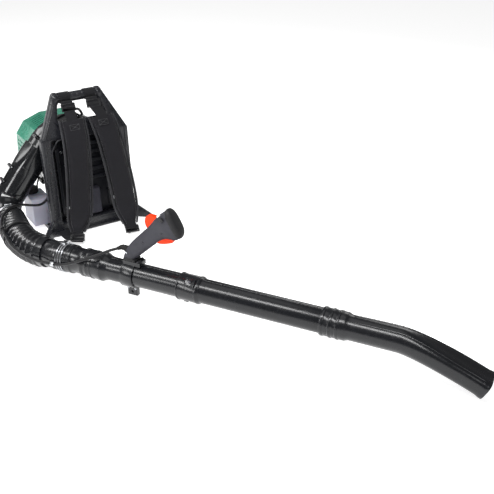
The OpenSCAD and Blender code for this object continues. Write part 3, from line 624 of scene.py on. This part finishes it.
RIGHT_PAD = ((-45, 14, 402, 88, 0), (-49, -18, 330, 90, 0), (-57, -36, 240, 90, 0),
             (-66, -46, 150, 90, 0), (-77, -54, 78, 84, -8), (-98, -80, 40, 48, -28))
LEFT_PAD = ((57, 14, 398, 88, 0), (70, -16, 325, 90, 0), (80, -34, 240, 90, 0),
            (88, -46, 160, 90, 0), (91, -62, 85, 86, 0), (86, -100, 34, 50, -12))
PAD_HALF_T = 0.0055


def pad_lines(stations):
    """Centre, half width and width direction along a pad, from its stations in millimetres."""
    middle = curve([Vector(s[:3]) * MM for s in stations], 12)
    extra = curve([Vector((s[3] * MM / 2, s[4], 0)) for s in stations], 12)
    return [(c, e.x, level(e.y)) for c, e in zip(middle, extra)]


def pad_form(name, stations):
    lines = pad_lines(stations)
    rings = []
    for i, (c, half, side) in enumerate(lines):
        ahead = lines[min(i + 1, len(lines) - 1)][0] - lines[max(i - 1, 0)][0]
        out = ahead.cross(side).normalized()
        end = min(1.0, 0.45 + 0.4 * min(i, len(lines) - 1 - i))
        rings.append(around(c, side, out, half - 0.003, PAD_HALF_T * end, 40, 5.0))
    return loft(name, rings)


def puffed(pads, cap=0.005, pressure=4.0):
    """Blows the pads up as cloth round their filling, and limits how far a point moves."""
    rests = []
    for pad in pads:
        mod = pad.modifiers.new("remesh", "REMESH")
        mod.mode = "VOXEL"
        mod.voxel_size = 0.004
        applied(pad)
        rests.append(np.array([v.co for v in pad.data.vertices]))
        cloth = pad.modifiers.new("cloth", "CLOTH")
        cloth.settings.use_pressure = True
        cloth.settings.uniform_pressure_force = pressure
        cloth.settings.effector_weights.gravity = 0
        cloth.settings.quality = 5
    for number in range(1, 21):
        bpy.context.scene.frame_set(number)
    for pad, rest in zip(pads, rests):
        applied(pad)
        now = np.array([v.co for v in pad.data.vertices])
        move = now - rest
        size = np.linalg.norm(move, axis=1, keepdims=True)
        move *= np.minimum(1, cap / np.maximum(size, 1e-9))
        pad.data.vertices.foreach_set("co", (rest + move).ravel().astype(np.float32))
    bpy.context.scene.frame_set(1)


def shoulder_pads():
    pads = [pad_form("shoulder_pad_right_cloth", RIGHT_PAD),
            pad_form("shoulder_pad_left_cloth", LEFT_PAD)]
    puffed(pads)
    for pad, node, stations in zip(pads, ("shoulder_pad_right", "shoulder_pad_left"),
                                   (RIGHT_PAD, LEFT_PAD)):
        mod = pad.modifiers.new("fine", "SUBSURF")
        mod.levels = 1
        mod.render_levels = 1
        smooth(applied(pad), 60)
        placed(pad, "pad_fabric", "root", node)
        lines = pad_lines(stations)
        for side in (-1, 1):
            edge = [c + side * (half - 0.0015) * across for c, half, across in lines]
            rings = []
            for p, (t, _, _), (_, _, across) in zip(edge, headings(edge), lines):
                out = t.cross(across).normalized()
                rings.append(around(p, across, out, 0.0032, 0.0062, 14, 3.0))
            trim = smooth(loft(f"{node}_binding_{'a' if side < 0 else 'b'}", rings), 60)
            placed(trim, "pad_fabric", "root", material=BINDING)
            stitch_row(f"{node}_stitch_{'a' if side < 0 else 'b'}",
                       [c + side * (half - 0.0095) * across for c, half, across in lines],
                       [across for _, _, across in lines])


STITCH_LIFT = 0.00756


def stitch_row(name, path, across):
    """Short thread dashes along a path, standing just off the pad's front face."""
    bm = bmesh.new()
    fine = curve(path[::6] + [path[-1]], 14)
    for i in range(0, len(fine) - 1, 2):
        p, q = fine[i], fine[i + 1]
        t = (q - p).normalized()
        side = across[min(i * len(across) // len(fine), len(across) - 1)]
        out = t.cross(side).normalized()
        out = out if out.y < 0 else -out
        centre = p + STITCH_LIFT * out
        skin(bm, [around(c, side, out, 0.0006, 0.0008, 6) for c in (centre, centre + (q - p) * 0.9)])
    placed(new_object(name, bm), "pad_fabric", "root", material=STITCH)


def upper_webbing():
    hub = in_shoulder(0, FRAME_T / 2, TUBE_UP)
    loop_r = TUBE_R + 0.0016
    for name, x, tab_x, node in (("right", -0.044, -0.045, "upper_webbing"),
                                 ("left", 0.044, 0.056, None)):
        loop = []
        for k in range(33):
            t = math.radians(250 - 320 * k / 32)
            loop.append(Vector((x, hub.y + loop_r * math.cos(t), hub.z + loop_r * math.sin(t))))
        front = [Vector((x, 0.050, 0.452)), Vector((x, 0.0405, 0.443)), Vector((x, 0.0345, 0.434))]
        tab = [Vector((x * 0.5 + tab_x * 0.5, 0.027, 0.420)), Vector((tab_x, 0.0105, 0.404)),
               Vector((tab_x, -0.0035, 0.386)), Vector((tab_x, -0.011, 0.370))]
        back = [Vector((x, 0.0415, 0.432)), Vector((x, 0.048, 0.443)), Vector((x, 0.058, 0.447))]
        over = ribbon(f"webbing_loop_{name}", back + loop[2:-1] + front, X)
        if node:
            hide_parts(node)
        ribbon(f"webbing_tab_{name}", curve(front[1:] + tab, 5), X)
        bars = [Vector((tab_x + dx, -0.0052 - 0.0069 * (0.386 - z) / 0.016 * 1.15, z))
                for dx, z in ((-0.016, 0.388), (0.016, 0.388), (0.016, 0.372), (-0.016, 0.372),
                              (-0.016, 0.388))]
        box_stitch(f"tab_stitch_{name}", bars)


def box_stitch(name, corners):
    """Thread dashes round a four-sided patch and across it."""
    bm = bmesh.new()
    for a, b in list(zip(corners, corners[1:])) + [(corners[0], corners[2]), (corners[1], corners[3])]:
        count = max(2, int((b - a).length / 0.0032))
        for k in range(count):
            p, q = a.lerp(b, (k + 0.1) / count), a.lerp(b, (k + 0.85) / count)
            t = (q - p).normalized()
            side = t.cross(Y).normalized()
            skin(bm, [around(c, side, Y, 0.0005, 0.0008, 6) for c in (p, q)])
    placed(new_object(name, bm), "webbing", "root", material=STITCH)


def lower_webbing():
    """Straps from the pads' ends to the frame, and the tabs sewn to the pads' ends."""
    straps = (("lower_webbing_right", -14,
               ((-104, -93, 30), (-109, -86, 20), (-114, -60, 9), (-118, -25, 10), (-120, -2, 20))),
              ("lower_webbing_left", -8,
               ((87, -110, 20), (90, -100, 12), (98, -66, 6), (108, -28, 8), (112, -2, 20))),
              ("pad_end_tab_right", -28,
               ((-95, -74, 48), (-101, -85, 35), (-107, -95, 23), (-111, -101, 14))),
              ("pad_end_tab_left", -12,
               ((86, -94, 42), (86, -104, 27), (87, -113, 15), (88, -118, 8))))
    for name, turn, points in straps:
        strap = ribbon(name, curve([Vector(p) * MM for p in points], 6), level(turn))
        if name == "lower_webbing_right":
            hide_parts("lower_webbing")
    softened("ladder_locks", 0.0016, 3)


# ---- Fan housing and duct ----

def fan_housing():
    softened("volute_front", 0.0035, 3)
    softened("volute_rear", 0.0035, 3)
    softened("housing_screws", 0.0006)
    softened("inlet_guard", 0.0006)
    elbow = []
    centre = ELBOW_IN - ELBOW_R * Y
    for k in range(1, 25):
        t = math.radians(90 * k / 24)
        elbow.append(centre + ELBOW_R * (math.sin(t) * DUCT_DIR + math.cos(t) * Y))
    straight = [DUCT_FOOT + s * DUCT_DIR for s in steps(DUCT_START, DUCT_LEN, 12)]
    path = straight + elbow
    radii = [DUCT_R] * len(straight) + [DUCT_R - 0.0006] * len(elbow)
    shell = [tube("duct_tube", path, radii, 72, 0.0045)]
    rings = []
    for k in range(15):
        s = 0.018 + 0.104 * k / 14
        u = eased(k / 14)
        rings.append(around(DUCT_FOOT + s * DUCT_DIR, DUCT_OUT, Y, 0.038 + 0.0113 * u,
                            0.0478 + 0.0015 * u, 72, 4.5 - 2.5 * u))
    shell.append(smooth(loft("fairing", rings)))
    flange = block("duct_flange", DUCT_FOOT + (DUCT_START + 0.002) * DUCT_DIR,
                   (0.064, 0.096, 0.004), (DUCT_OUT, Y, DUCT_DIR), 0.0012)
    shell.append(flange)
    for sign in (-1, 1):
        ridge = [DUCT_FOOT + s * DUCT_DIR + sign * (DUCT_R + 0.0004) * DUCT_OUT
                 for s in steps(DUCT_START + 0.003, DUCT_LEN - 0.003, 14)]
        rings = [around(p, Y, DUCT_OUT, 0.0028, 0.0022, 10, 4.0) for p in ridge]
        shell.append(loft("seam", rings))
    for s in (0.117, 0.172):
        at = DUCT_FOOT + s * DUCT_DIR + (DUCT_R + 0.0045) * DUCT_OUT - 0.014 * Y
        shell.append(revolved("boss", at, Y, [(0, 0.0023), (0, 0.007), (0.028, 0.007),
                                              (0.028, 0.0023)], 28, 0.0008))
        rib = block("boss_rib", at + 0.014 * Y - 0.006 * DUCT_OUT, (0.012, 0.018, 0.004),
                    (DUCT_OUT, Y, DUCT_DIR), 0.0008)
        shell.append(rib)
    lip = revolved("lip", ELBOW_OUT + 0.001 * Y, -Y, [(0, 0.0455), (0, DUCT_R), (0.0042, DUCT_R),
                                                      (0.0042, 0.0375)], 72, 0.0008)
    along = (HOSE_B - HOSE_A).normalized()
    spigot = revolved("spigot", HOSE_A, along, [(0, 0.0375), (0, 0.0405), (0.027, 0.0405),
                                                (0.028, 0.0395), (0.028, 0.0375)], 64, 0)
    shell += [lip, spigot]
    placed(joined("outlet_duct_shell", shell), "housing_plastic", "root", "outlet_duct")
    band = revolved("clamp_band", HOSE_A + 0.011 * along, along,
                    [(0, 0.0464), (0, 0.0472), (0.0012, 0.048), (0.0068, 0.048), (0.008, 0.0472),
                     (0.008, 0.0464)], 72, 0)
    side = along.cross(Z).normalized()
    up = side.cross(along).normalized()
    seat = HOSE_A + 0.015 * along + 0.0505 * up
    house = block("clamp_house", seat, (0.016, 0.008, 0.007), (side, along, up), 0.0012)
    worm = revolved("clamp_worm", seat - 0.012 * side, side, [(0, 0.001), (0, 0.0034),
                                                               (0.022, 0.0034), (0.022, 0.001)], 20, 0.0004)
    placed(joined("elbow_clamp_band", [band, house, worm]), "screw_steel", "root", "elbow_clamp")


# ---- Hose and cable ----

def hose(name, u0, u1, node, ends):
    """Half of the bellows, with a plain end of the given share of a ring at each side."""
    samples = 14
    plain = 0.8
    groove = 0.0105
    count = HOSE_RINGS * samples
    path, radii = [], []
    for i in range(count + 1):
        u = u0 + (u1 - u0) * i / count
        path.append(bezier(u))
        turns = i / samples
        wave = 0.5 + 0.5 * math.cos(2 * math.pi * turns)
        r = HOSE_R - groove + groove * wave ** 1.1
        if turns < plain or turns > HOSE_RINGS - plain:
            r = HOSE_R - 0.004
        radii.append(r)
    obj = tube(name, path, radii, 64, HOSE_WALL)
    placed(obj, "hose_rubber", None, node)
    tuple(ends[0])
    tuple(ends[1])
    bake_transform(obj)


CABLE_REAR = ((63, 199, 301), (63, 194, 322), (55, 177, 350), (38, 155, 378), (15, 128, 394),
              (-25, 96, 396), (-75, 80, 388), (-108, 68, 366), (-124, 61, 325), (-132, 61, 270),
              (-136, 60, 200), (-140, 58, 145), (-153, 50, 121), (-180, 40, 115),
              (-210, 36, 122), (-237, 30, 133), (-263, 14, 143), (-300, -17, 153),
              (-334, -57, 149), (-351, -95, 144), (-357, -125, 141))
CABLE_FRONT = ((-357, -125, 141), (-361, -158, 138), (-362, -190, 132), (-362, -222, 128),
               (-356, -254, 123), (-346, -288, 119), (-330, -321, 115), (-309, -346, 111),
               (-289, -370, 110))
CABLE_TAIL = ((-289, -370, 110), (-273, -394, 114), (-256, -421, 125), (-228, -458, 146),
              (-196, -486, 164), (-163, -509, 181), (-141, -523, 189), (-129, -531, 193))


def cable(name, route, node, ends):
    """Corrugated sleeve of the throttle cable along its route, which is in millimetres."""
    rough = curve([Vector(p) * MM for p in route], 10)
    total = [0.0]
    for a, b in zip(rough, rough[1:]):
        total.append(total[-1] + (b - a).length)
    pitch, samples = 0.0042, 4
    count = int(total[-1] / pitch) * samples
    path = []
    for i in range(count + 1):
        want = total[-1] * i / count
        k = min(np.searchsorted(total, want, side="right") - 1, len(rough) - 2)
        path.append(rough[k].lerp(rough[k + 1], (want - total[k]) / (total[k + 1] - total[k])))
    radii = [CABLE_R * (0.94 + 0.06 * math.cos(2 * math.pi * i / samples)) for i in range(count + 1)]
    obj = tube(name, path, radii, 14)
    placed(obj, "cable_sleeve", None, node)
    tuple(ends[0])
    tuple(ends[1])
    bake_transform(obj)


def hose_and_cable():
    middle = bezier(HOSE_MIDDLE)
    hose("hose_bellows_rear", 0.022, HOSE_MIDDLE - 0.004, "hose_rear",
         (HOSE_A, middle))
    hose("hose_bellows_front", HOSE_MIDDLE + 0.004, 1.0, "hose_front",
         (middle, HOSE_D))
    cable("cable_sleeve_rear", CABLE_REAR, "throttle_cable_rear",
          (HOSE_A, middle))
    cable("cable_sleeve_front", CABLE_FRONT, "throttle_cable_front",
          (middle, HOSE_D))
    cable("cable_sleeve_tail", CABLE_TAIL, "throttle_cable_tail",
          (on_pipe(-0.175), on_pipe(-0.06)))
    softened("hose_clip", 0.0008)
    softened("cuff_clamp", 0.0008)
    for k, s in enumerate((-0.1745, -0.1660, -0.1575)):
        hoop = [(-0.0012, 0.0438), (-0.0009, 0.0449), (0.0, 0.0453), (0.0009, 0.0449),
                (0.0012, 0.0438)]
        ring = revolved(f"clamp_hoop_{k}", on_pipe(s), PIPE_DIR, hoop, 72, 0)
        placed(ring, "screw_steel", "cuff")
    for k, s in enumerate((-0.1702, -0.1617)):
        band = [(-0.0030, 0.0438), (-0.0030, 0.0443), (0.0030, 0.0443), (0.0030, 0.0438)]
        ring = revolved(f"clamp_liner_{k}", on_pipe(s), PIPE_DIR, band, 72, 0)
        placed(ring, "buckle_plastic", "cuff")


# ---- Pipe ----

def pipe_piece(name, profile, slot, body, *nodes, bevel=0.0007):
    """Ring-shaped piece round the pipe's line, from a profile in millimetres."""
    obj = revolved(name, PIPE_START, PIPE_DIR, [(s * MM, r * MM) for s, r in profile], 80, bevel)
    return placed(obj, slot, body, *nodes)


def pipes():
    pipe_piece("hose_cuff_ring", [(-242, 39), (-242, 41), (-240, 42), (-198, 42), (-196, 44),
                                  (-190, 44), (-188, 42), (-180, 42), (-178.5, 41.2),
                                  (-152, 41.2), (-150, 43), (-147, 43), (-145.5, 41.6),
                                  (-143, 43), (-140.4, 43), (-140, 42), (-140, 39)],
               "hose_rubber", "cuff", "hose_cuff")
    outer = [(-200, 33), (-200, 38), (-139.6, 38), (-139.6, 43), (-131, 43), (-129, 40), (-124, 38.4),
             (-98, 38.4), (-94, 40), (-92, 43), (-85, 43), (-83, 41), (-76, 41), (-74, 42),
             (-70, 42), (-68, 41), (-61, 41), (-60, 43), (-56, 43), (-55, 41), (-40, 41.5),
             (-34, 42.6), (-24, 42.8), (-20, 40), (-8, 36), (-2, 35), (284, 35), (285, 34.4),
             (285, 33)]
    pipe_piece("pipe_inner_tube", outer, "pipe_plastic", "pipe", "pipe_inner")
    ribs = [(228, 35.1), (228, 38.8), (229, 40), (233, 40), (234, 38.5), (286, 38.5), (287, 40),
            (292, 40), (294, 38.5), (296, 38), (298, 36), (301, 35), (699, 35), (700, 33),
            (296, 33), (296, 35.1)]
    plate = [block("collar_plate", on_pipe(0.269) + 0.0385 * side_up(35), (0.024, 0.006, 0.030),
                   (side_along(35), side_up(35), PIPE_DIR), 0.0015),
             block("collar_tab", on_pipe(0.247, 0, -PIPE_R - 0.005), (0.020, 0.008, 0.014),
                   (PIPE_SIDE, Z, PIPE_DIR), 0.0018)]
    tube_part = revolved("pipe_outer_tube", PIPE_START, PIPE_DIR,
                         [(s * MM, r * MM) for s, r in ribs], 80, 0.0007)
    placed(joined("pipe_outer_shell", [tube_part] + plate), "pipe_plastic", "pipe", "pipe_outer")
    for name, low, high in (("inner", -0.002, 0.228), ("outer", 0.300, 0.652)):
        for sign in (-1, 1):
            line = [on_pipe(s, 0, sign * (PIPE_R + 0.0001)) for s in steps(low, high, 24)]
            rings = [around(p, PIPE_SIDE, Z, 0.0014, 0.0006, 8) for p in line]
            seam = smooth(loft(f"mould_line_{name}_{'top' if sign > 0 else 'base'}", rings))
            placed(seam, "pipe_plastic", "pipe")
    softened("grip_clamp", 0.0022, 3)
    softened("pipe_screws", 0.0005, material=SCREW_BLACK)
    for s in (0.054, 0.078):
        bolt = bolt_head(f"clamp_bolt_{int(s * 1000)}", on_pipe(s, -0.0061, -PIPE_R - 0.010),
                         -PIPE_SIDE, 0.0035, 0.003)
        placed(bolt, "screw_steel", "pipe")


def side_up(degrees):
    t = math.radians(degrees)
    return math.cos(t) * Z - math.sin(t) * PIPE_SIDE


def side_along(degrees):
    t = math.radians(degrees)
    return math.cos(t) * PIPE_SIDE + math.sin(t) * Z


def droop(s):
    return 0.0 if s < 0.860 else 0.076 * ((s - 0.860) / 0.243) ** 1.45


def nozzle():
    """Collar with ribs, round tube, then a flattened mouth that bends down to the floor."""
    ribs = [(0.652, 38.6), (0.655, 40), (0.661, 40), (0.663, 38.4), (0.676, 38.4), (0.678, 40),
            (0.683, 40), (0.685, 38.4), (0.696, 38.4), (0.698, 40), (0.703, 40), (0.705, 38.4),
            (0.719, 38.4), (0.722, 37)]
    stations = [(s, r * MM, r * MM, 2.0, 0.0) for s, r in ribs]
    last = 1.090
    for k in range(1, 46):
        s = 0.722 + (last - 0.722) * k / 45
        flat = eased(min(1.0, max(0.0, (s - 0.850) / 0.170)))
        wide = PIPE_R + 0.001 + 0.005 * flat
        high = PIPE_R + 0.001 - 0.005 * flat
        lip = 0.0016 if s > last - 0.016 else 0.0
        stations.append((s, wide - 0.0016 + lip, high - 0.0016 + lip, 2.0 + 1.1 * flat, flat))

    def ring(s, wide, high, power, flat, inset):
        slope = (droop(s + 0.002) - droop(s - 0.002)) / 0.004
        t = (PIPE_DIR - slope * Z).normalized()
        up = PIPE_SIDE.cross(t).normalized()
        up = up if up.z > 0 else -up
        points = []
        centre = on_pipe(s) - droop(s) * Z
        slant = 0.05 * max(0.0, (s - 1.0) / 0.090)
        for p in around(Vector(), X, Y, wide - inset, high - inset, 72, power):
            y = p.y
            if y > 0:
                y *= 1 - 0.20 * flat * max(0.0, 1 - abs(p.x) / wide) ** 0.5
            points.append(centre + p.x * PIPE_SIDE + y * up + slant * y * t)
        return points

    outer = [ring(*st, 0.0) for st in stations]
    inner = [ring(*st, 0.0024) for st in stations[::-1]]
    body = loft("nozzle_shell", outer + inner, cyclic=True)
    placed(smooth(rounded(body, 0.0005), 40), "pipe_plastic", "pipe", "nozzle")
    for letter, pick in (("b", 24), ("a", 12)):
        line = [ring(*st, 0.0)[pick] for st in stations[16:-2]]
        radii = [0.0013 * min(1, 0.15 + i / 10) for i in range(len(line))]
        placed(tube(f"nozzle_edge_{letter}", line, radii, 10), "pipe_plastic", "pipe")
    top = ring(*stations[-3], 0.0)
    rivet = bolt_head("nozzle_rivet", top[27] * 0.5 + top[28] * 0.5, -PIPE_SIDE, 0.003, 0.0016, False)
    placed(rivet, "pipe_plastic", "pipe")


# ---- Throttle handle ----

def handle_ring(z, half_w, front, back):
    """Half outline of the grip at height z along it: front and back are depths from its axis."""
    middle, deep = (back - front) / 2, (back + front) / 2
    points = []
    for j in range(25):
        t = math.radians(-90 + 180 * j / 24)
        c, s = math.cos(t), math.sin(t)
        points.append((half_w * abs(c) ** 0.72, middle + deep * math.copysign(abs(s) ** 0.86, s), z))
    return points


HANDLE = ((8, 14, 20, 2), (20, 15, 22, 8), (36, 16, 24, 15), (60, 16.8, 24.5, 20),
          (92, 17.6, 25, 22.5), (122, 17.8, 25.5, 23.5), (146, 18, 26, 25), (162, 18.6, 28, 26.5),
          (176, 19.8, 33, 28.5), (188, 21, 41, 30.5), (200, 22, 48.5, 31.5), (211, 22, 53, 31),
          (221, 21.9, 54, 29.5), (228, 21.2, 53, 27), (232, 19, 49, 23.5), (233, 12, 34, 15))


def leaning(y, z):
    """How far the head's end leans forward, at depth y and height z in the grip."""
    u = min(1.0, max(0.0, (z - 178) / 50))
    return 0.24 * y * eased(u)


def handle_half(name, side, node):
    stations = curve([Vector((h[1], h[2], h[3])) for h in HANDLE], 4)
    heights = curve([Vector((h[0], 0, 0)) for h in HANDLE], 4)
    rings = []
    foot = PIPE_R + 0.0132
    for st, h in zip(stations, heights):
        ring = []
        for x, y, z in handle_ring(h.x, st.x, st.y, st.z):
            p = in_grip(side * (max(x, 0.0) + 0.12) * MM, y * MM, (z + leaning(y, z)) * MM)
            p.z = max(p.z, PIPE_START.z + foot)
            ring.append(p)
        rings.append(ring)
    shell = loft(name, rings)
    plate = block(name + "_foot", on_pipe(0.069, side * 0.0088, foot + 0.0032),
                  (0.0172, 0.038, 0.0062), (PIPE_SIDE, PIPE_DIR, Z), 0.0015)
    low = 0.128
    for high, y0, y1 in ((0.206, -0.060, 0.0), (0.200, 0.0, 0.060)):
        cutter = cube("cutter", lambda v: in_grip(v.x * 0.016, (y0 + y1) / 2 + v.y * (y1 - y0 + 0.001),
                                                  (low + high) / 2 + v.z * (high - low)))
        mod = shell.modifiers.new("slot", "BOOLEAN")
        mod.operation = "DIFFERENCE"
        mod.solver = "EXACT"
        mod.object = cutter
        applied(shell)
        bpy.data.objects.remove(cutter)
    placed(smooth(shell), "grip_plastic", "pipe", node)
    placed(plate, "grip_plastic", "pipe", material=HEAD_DARK)


def lever(name, outline, pivot, node, body):
    """Finger lever cut from a smooth outline, with rounded edges, on a steel pin."""
    points = [Vector((y, z, 0)) for y, z in outline]
    ring = curve(points + [points[0]], 4)[:-1]
    rings = [[in_grip(x, p.x * MM, p.y * MM) for p in ring] for x in (-0.007, 0.007)]
    plate = rounded(loft(name, rings), 0.0024, 4, 40)
    placed(plate, "lever_orange", body, node)
    pin = revolved(name + "_pin", in_grip(-0.015, pivot[0] * MM, pivot[1] * MM), PIPE_SIDE,
                   [(0, 0.0004), (0, 0.002), (0.030, 0.002), (0.030, 0.0004)], 20, 0)
    placed(pin, "screw_steel", body)


def throttle_handle():
    handle_half("handle_left", 1, "handle_shell_left")
    handle_half("handle_right", -1, "handle_shell_right")
    lever("trigger_lever", [(-13, 198), (-13, 203), (-24, 203), (-38, 198), (-50, 189), (-51, 181),
                            (-43, 163), (-35, 149), (-28, 142), (-17, 144), (-15, 190)],
          (-17, 201), "throttle_trigger", "trigger")
    lever("lock_lever", [(13, 190), (13, 196), (24, 196), (37, 190), (48, 179), (50, 168), (45, 157),
                         (35, 149), (23, 146), (16, 149), (15, 184)], (17, 195),
          "throttle_lock", "lock")
    # Dark cap over the head's end, with a rim round it.
    rings = []
    for z, grow in ((224, 0.92), (225, 1.0), (226.5, 1.04), (231, 1.05), (236, 1.01), (240, 0.92),
                    (242.5, 0.76), (243.5, 0.5)):
        ring = around(Vector((0, -12.5, 0)), X, Y, 21.2 * grow, 41.5 * grow, 56, 2.6)
        rings.append([in_grip(p.x * MM, p.y * MM, (z + leaning(p.y, z)) * MM) for p in ring])
    placed(smooth(loft("head_cap", rings), 50), "grip_plastic", "pipe", material=HEAD_DARK)
    # Collar where the handle stands on its saddle.
    rings = []
    for up, half_w, back, ahead in ((48.2, 16.5, 54, 84), (50, 17.5, 53, 85), (55, 17.5, 53, 84),
                                    (58, 16.5, 52, 79), (60, 15, 52, 74)):
        middle, reach = (back + ahead) / 2, (ahead - back) / 2
        ring = around(Vector(), X, Y, half_w, reach, 40, 3.0)
        rings.append([on_pipe((middle + p.y) * MM, p.x * MM, up * MM) for p in ring])
    placed(smooth(loft("handle_collar", rings), 40), "grip_plastic", "pipe", material=HEAD_DARK)
    for k, (y, z, reach) in enumerate(((6, 34, 14.6), (0, 110, 16.4), (-12, 186, 19.2))):
        for side, word in SIDES:
            bolt = bolt_head(f"shell_screw_{k}_{word[0]}",
                             in_grip(side * reach * MM, y * MM, z * MM), side * PIPE_SIDE,
                             0.0034, 0.0024)
            placed(bolt, "screw_steel", "pipe", material=None if k == 0 else SCREW_BLACK)
    softened("stop_switch", 0.0008)
    mark = block("switch_mark", in_grip(-0.0222, 0.030, 0.217), (0.0012, 0.004, 0.013),
                 (PIPE_SIDE, (in_grip(0, 1, 0) - in_grip(0, 0, 0)), (in_grip(0, 0, 1) - in_grip(0, 0, 0))),
                 0.0004)
    placed(mark, "plug_ceramic", "pipe")
    # Ribbed boot where the cable enters the handle.
    path = curve([Vector((-0.163, -0.509, 0.181)), Vector((-0.141, -0.523, 0.189)),
                  Vector((-0.129, -0.531, 0.193)), in_grip(-0.001, 0.010, 0.036)], 12)
    path = path[12:]
    count = len(path) - 1
    radii = [(5.2 + 4.6 * i / count + (0.8 if i % 4 < 2 else 0)) * MM for i in range(count + 1)]
    placed(tube("cable_boot", path, radii, 24), "mount_rubber", "pipe")


# ---- Engine ----

def engine():
    for node, width, segments in (
            ("crankcase", 0.0015, 2), ("cylinder", 0.0006, 2), ("muffler", 0.004, 3),
            ("carburettor", 0.0014, 2), ("filter_cover", 0.006, 3), ("air_filter", 0.003, 2),
            ("fuel_tank", 0.007, 4), ("engine_cover", 0.004, 3), ("starter_cover", 0.002, 3),
            ("fuel_cap", 0.0014, 2), ("choke_lever", 0.0008, 2), ("throttle_arm", 0.0004, 2),
            ("spark_plug", 0.0006, 2), ("starter_handle", 0.003, 3), ("ignition_coil", 0.001, 2),
            ("flywheel", 0.001, 2), ("starter_pulley", 0.0008, 2), ("impeller", 0.0008, 2)):
        softened(node, width, segments)
    # Dark sheets just inside the cover: painted shade that makes its holes and louvres look deep.
    low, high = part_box("engine_cover")
    shade_sheet = block("cover_shade_sheet_side", Vector((low.x + 0.0065, 0.232, 0.2435)),
                   (0.0012, 0.106, 0.078), bevel=0.0004)
    placed(shade_sheet, "buckle_plastic", "root")
    slope = Vector((62, 0, 22)).normalized()
    rise = Y.cross(slope).normalized()
    rise = rise if rise.z > 0 else -rise
    shade_sheet = block("cover_shade_sheet_top", Vector((-0.093, 0.231, 0.341)) - 0.0062 * rise,
                   (0.058, 0.106, 0.0012), (slope, Y, rise), 0.0004)
    placed(shade_sheet, "buckle_plastic", "root")
    # The rope runs out of the cover, straight along the CAD rope's box.
    low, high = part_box("starter_rope")
    line = [Vector((x, (low.y + high.y) / 2, (low.z + high.z) / 2))
            for x in steps(low.x, high.x, 60)]
    rope = tube("starter_rope_line", line, [0.00165] * 60, 12)
    placed(rope, "starter_cord", None, "starter_rope")
    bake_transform(rope)
    # Screws of the covers.
    low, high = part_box("engine_cover")
    spots = [(high.x - 0.010, high.z - 0.012), (low.x + 0.016, low.z + 0.014),
             (low.x + 0.030, low.z + 0.105)]
    for k, (x, z) in enumerate(spots):
        placed(bolt_head(f"cover_screw_{k}", Vector((x, high.y - 0.0002, z)), Y, 0.005, 0.003),
               "screw_steel", "root")
    low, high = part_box("starter_cover")
    for k in range(4):
        t = math.radians(45 + 90 * k)
        at = Vector((AXIS_X + 0.0655 * math.cos(t), high.y - 0.0003, AXIS_Z + 0.0655 * math.sin(t)))
        placed(bolt_head(f"starter_screw_{k}", at, Y, 0.0042, 0.0026), "screw_steel", "root")
    low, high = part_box("filter_cover")
    knob = revolved("filter_knob", Vector((high.x - 0.0005, (low.y + high.y) / 2, (low.z + high.z) / 2)),
                    X, [(0, 0.002), (0, 0.011), (0.003, 0.012), (0.009, 0.011), (0.010, 0.009),
                        (0.010, 0.002)], 40, 0.0006)
    placed(knob, "cap_plastic", "root")
    for k in range(4):
        z = low.z + 0.016 + 0.016 * k
        rib = block(f"filter_rib_{k}", Vector(((low.x + high.x) / 2, high.y - 0.0004, z)),
                    (0.038, 0.0036, 0.005), bevel=0.0012)
        placed(rib, "buckle_plastic", "root")
    lead = curve([Vector((-0.012, 0.200, 0.343)), Vector((-0.012, 0.206, 0.3465)),
                  Vector((-0.012, 0.226, 0.344)), Vector((-0.012, 0.246, 0.325)),
                  Vector((-0.012, 0.2525, 0.300)), Vector((-0.012, 0.2525, 0.284))], 6)
    placed(tube("plug_lead", lead, [0.0032] * len(lead), 14), "cap_plastic", "root")


def remaining_nodes():
    """Gives every CAD node that still shows its finish, through its material slots."""
    for name, obj in NODES.items():
        if not obj.hide_render:
            for slot in obj.material_slots:
                slot.material = MATERIALS[SLOT_OF[name]]


studio()
back_frame()
carry_handle()
shoulder_pads()
upper_webbing()
lower_webbing()
fan_housing()
hose_and_cable()
pipes()
nozzle()
throttle_handle()
engine()
remaining_nodes()
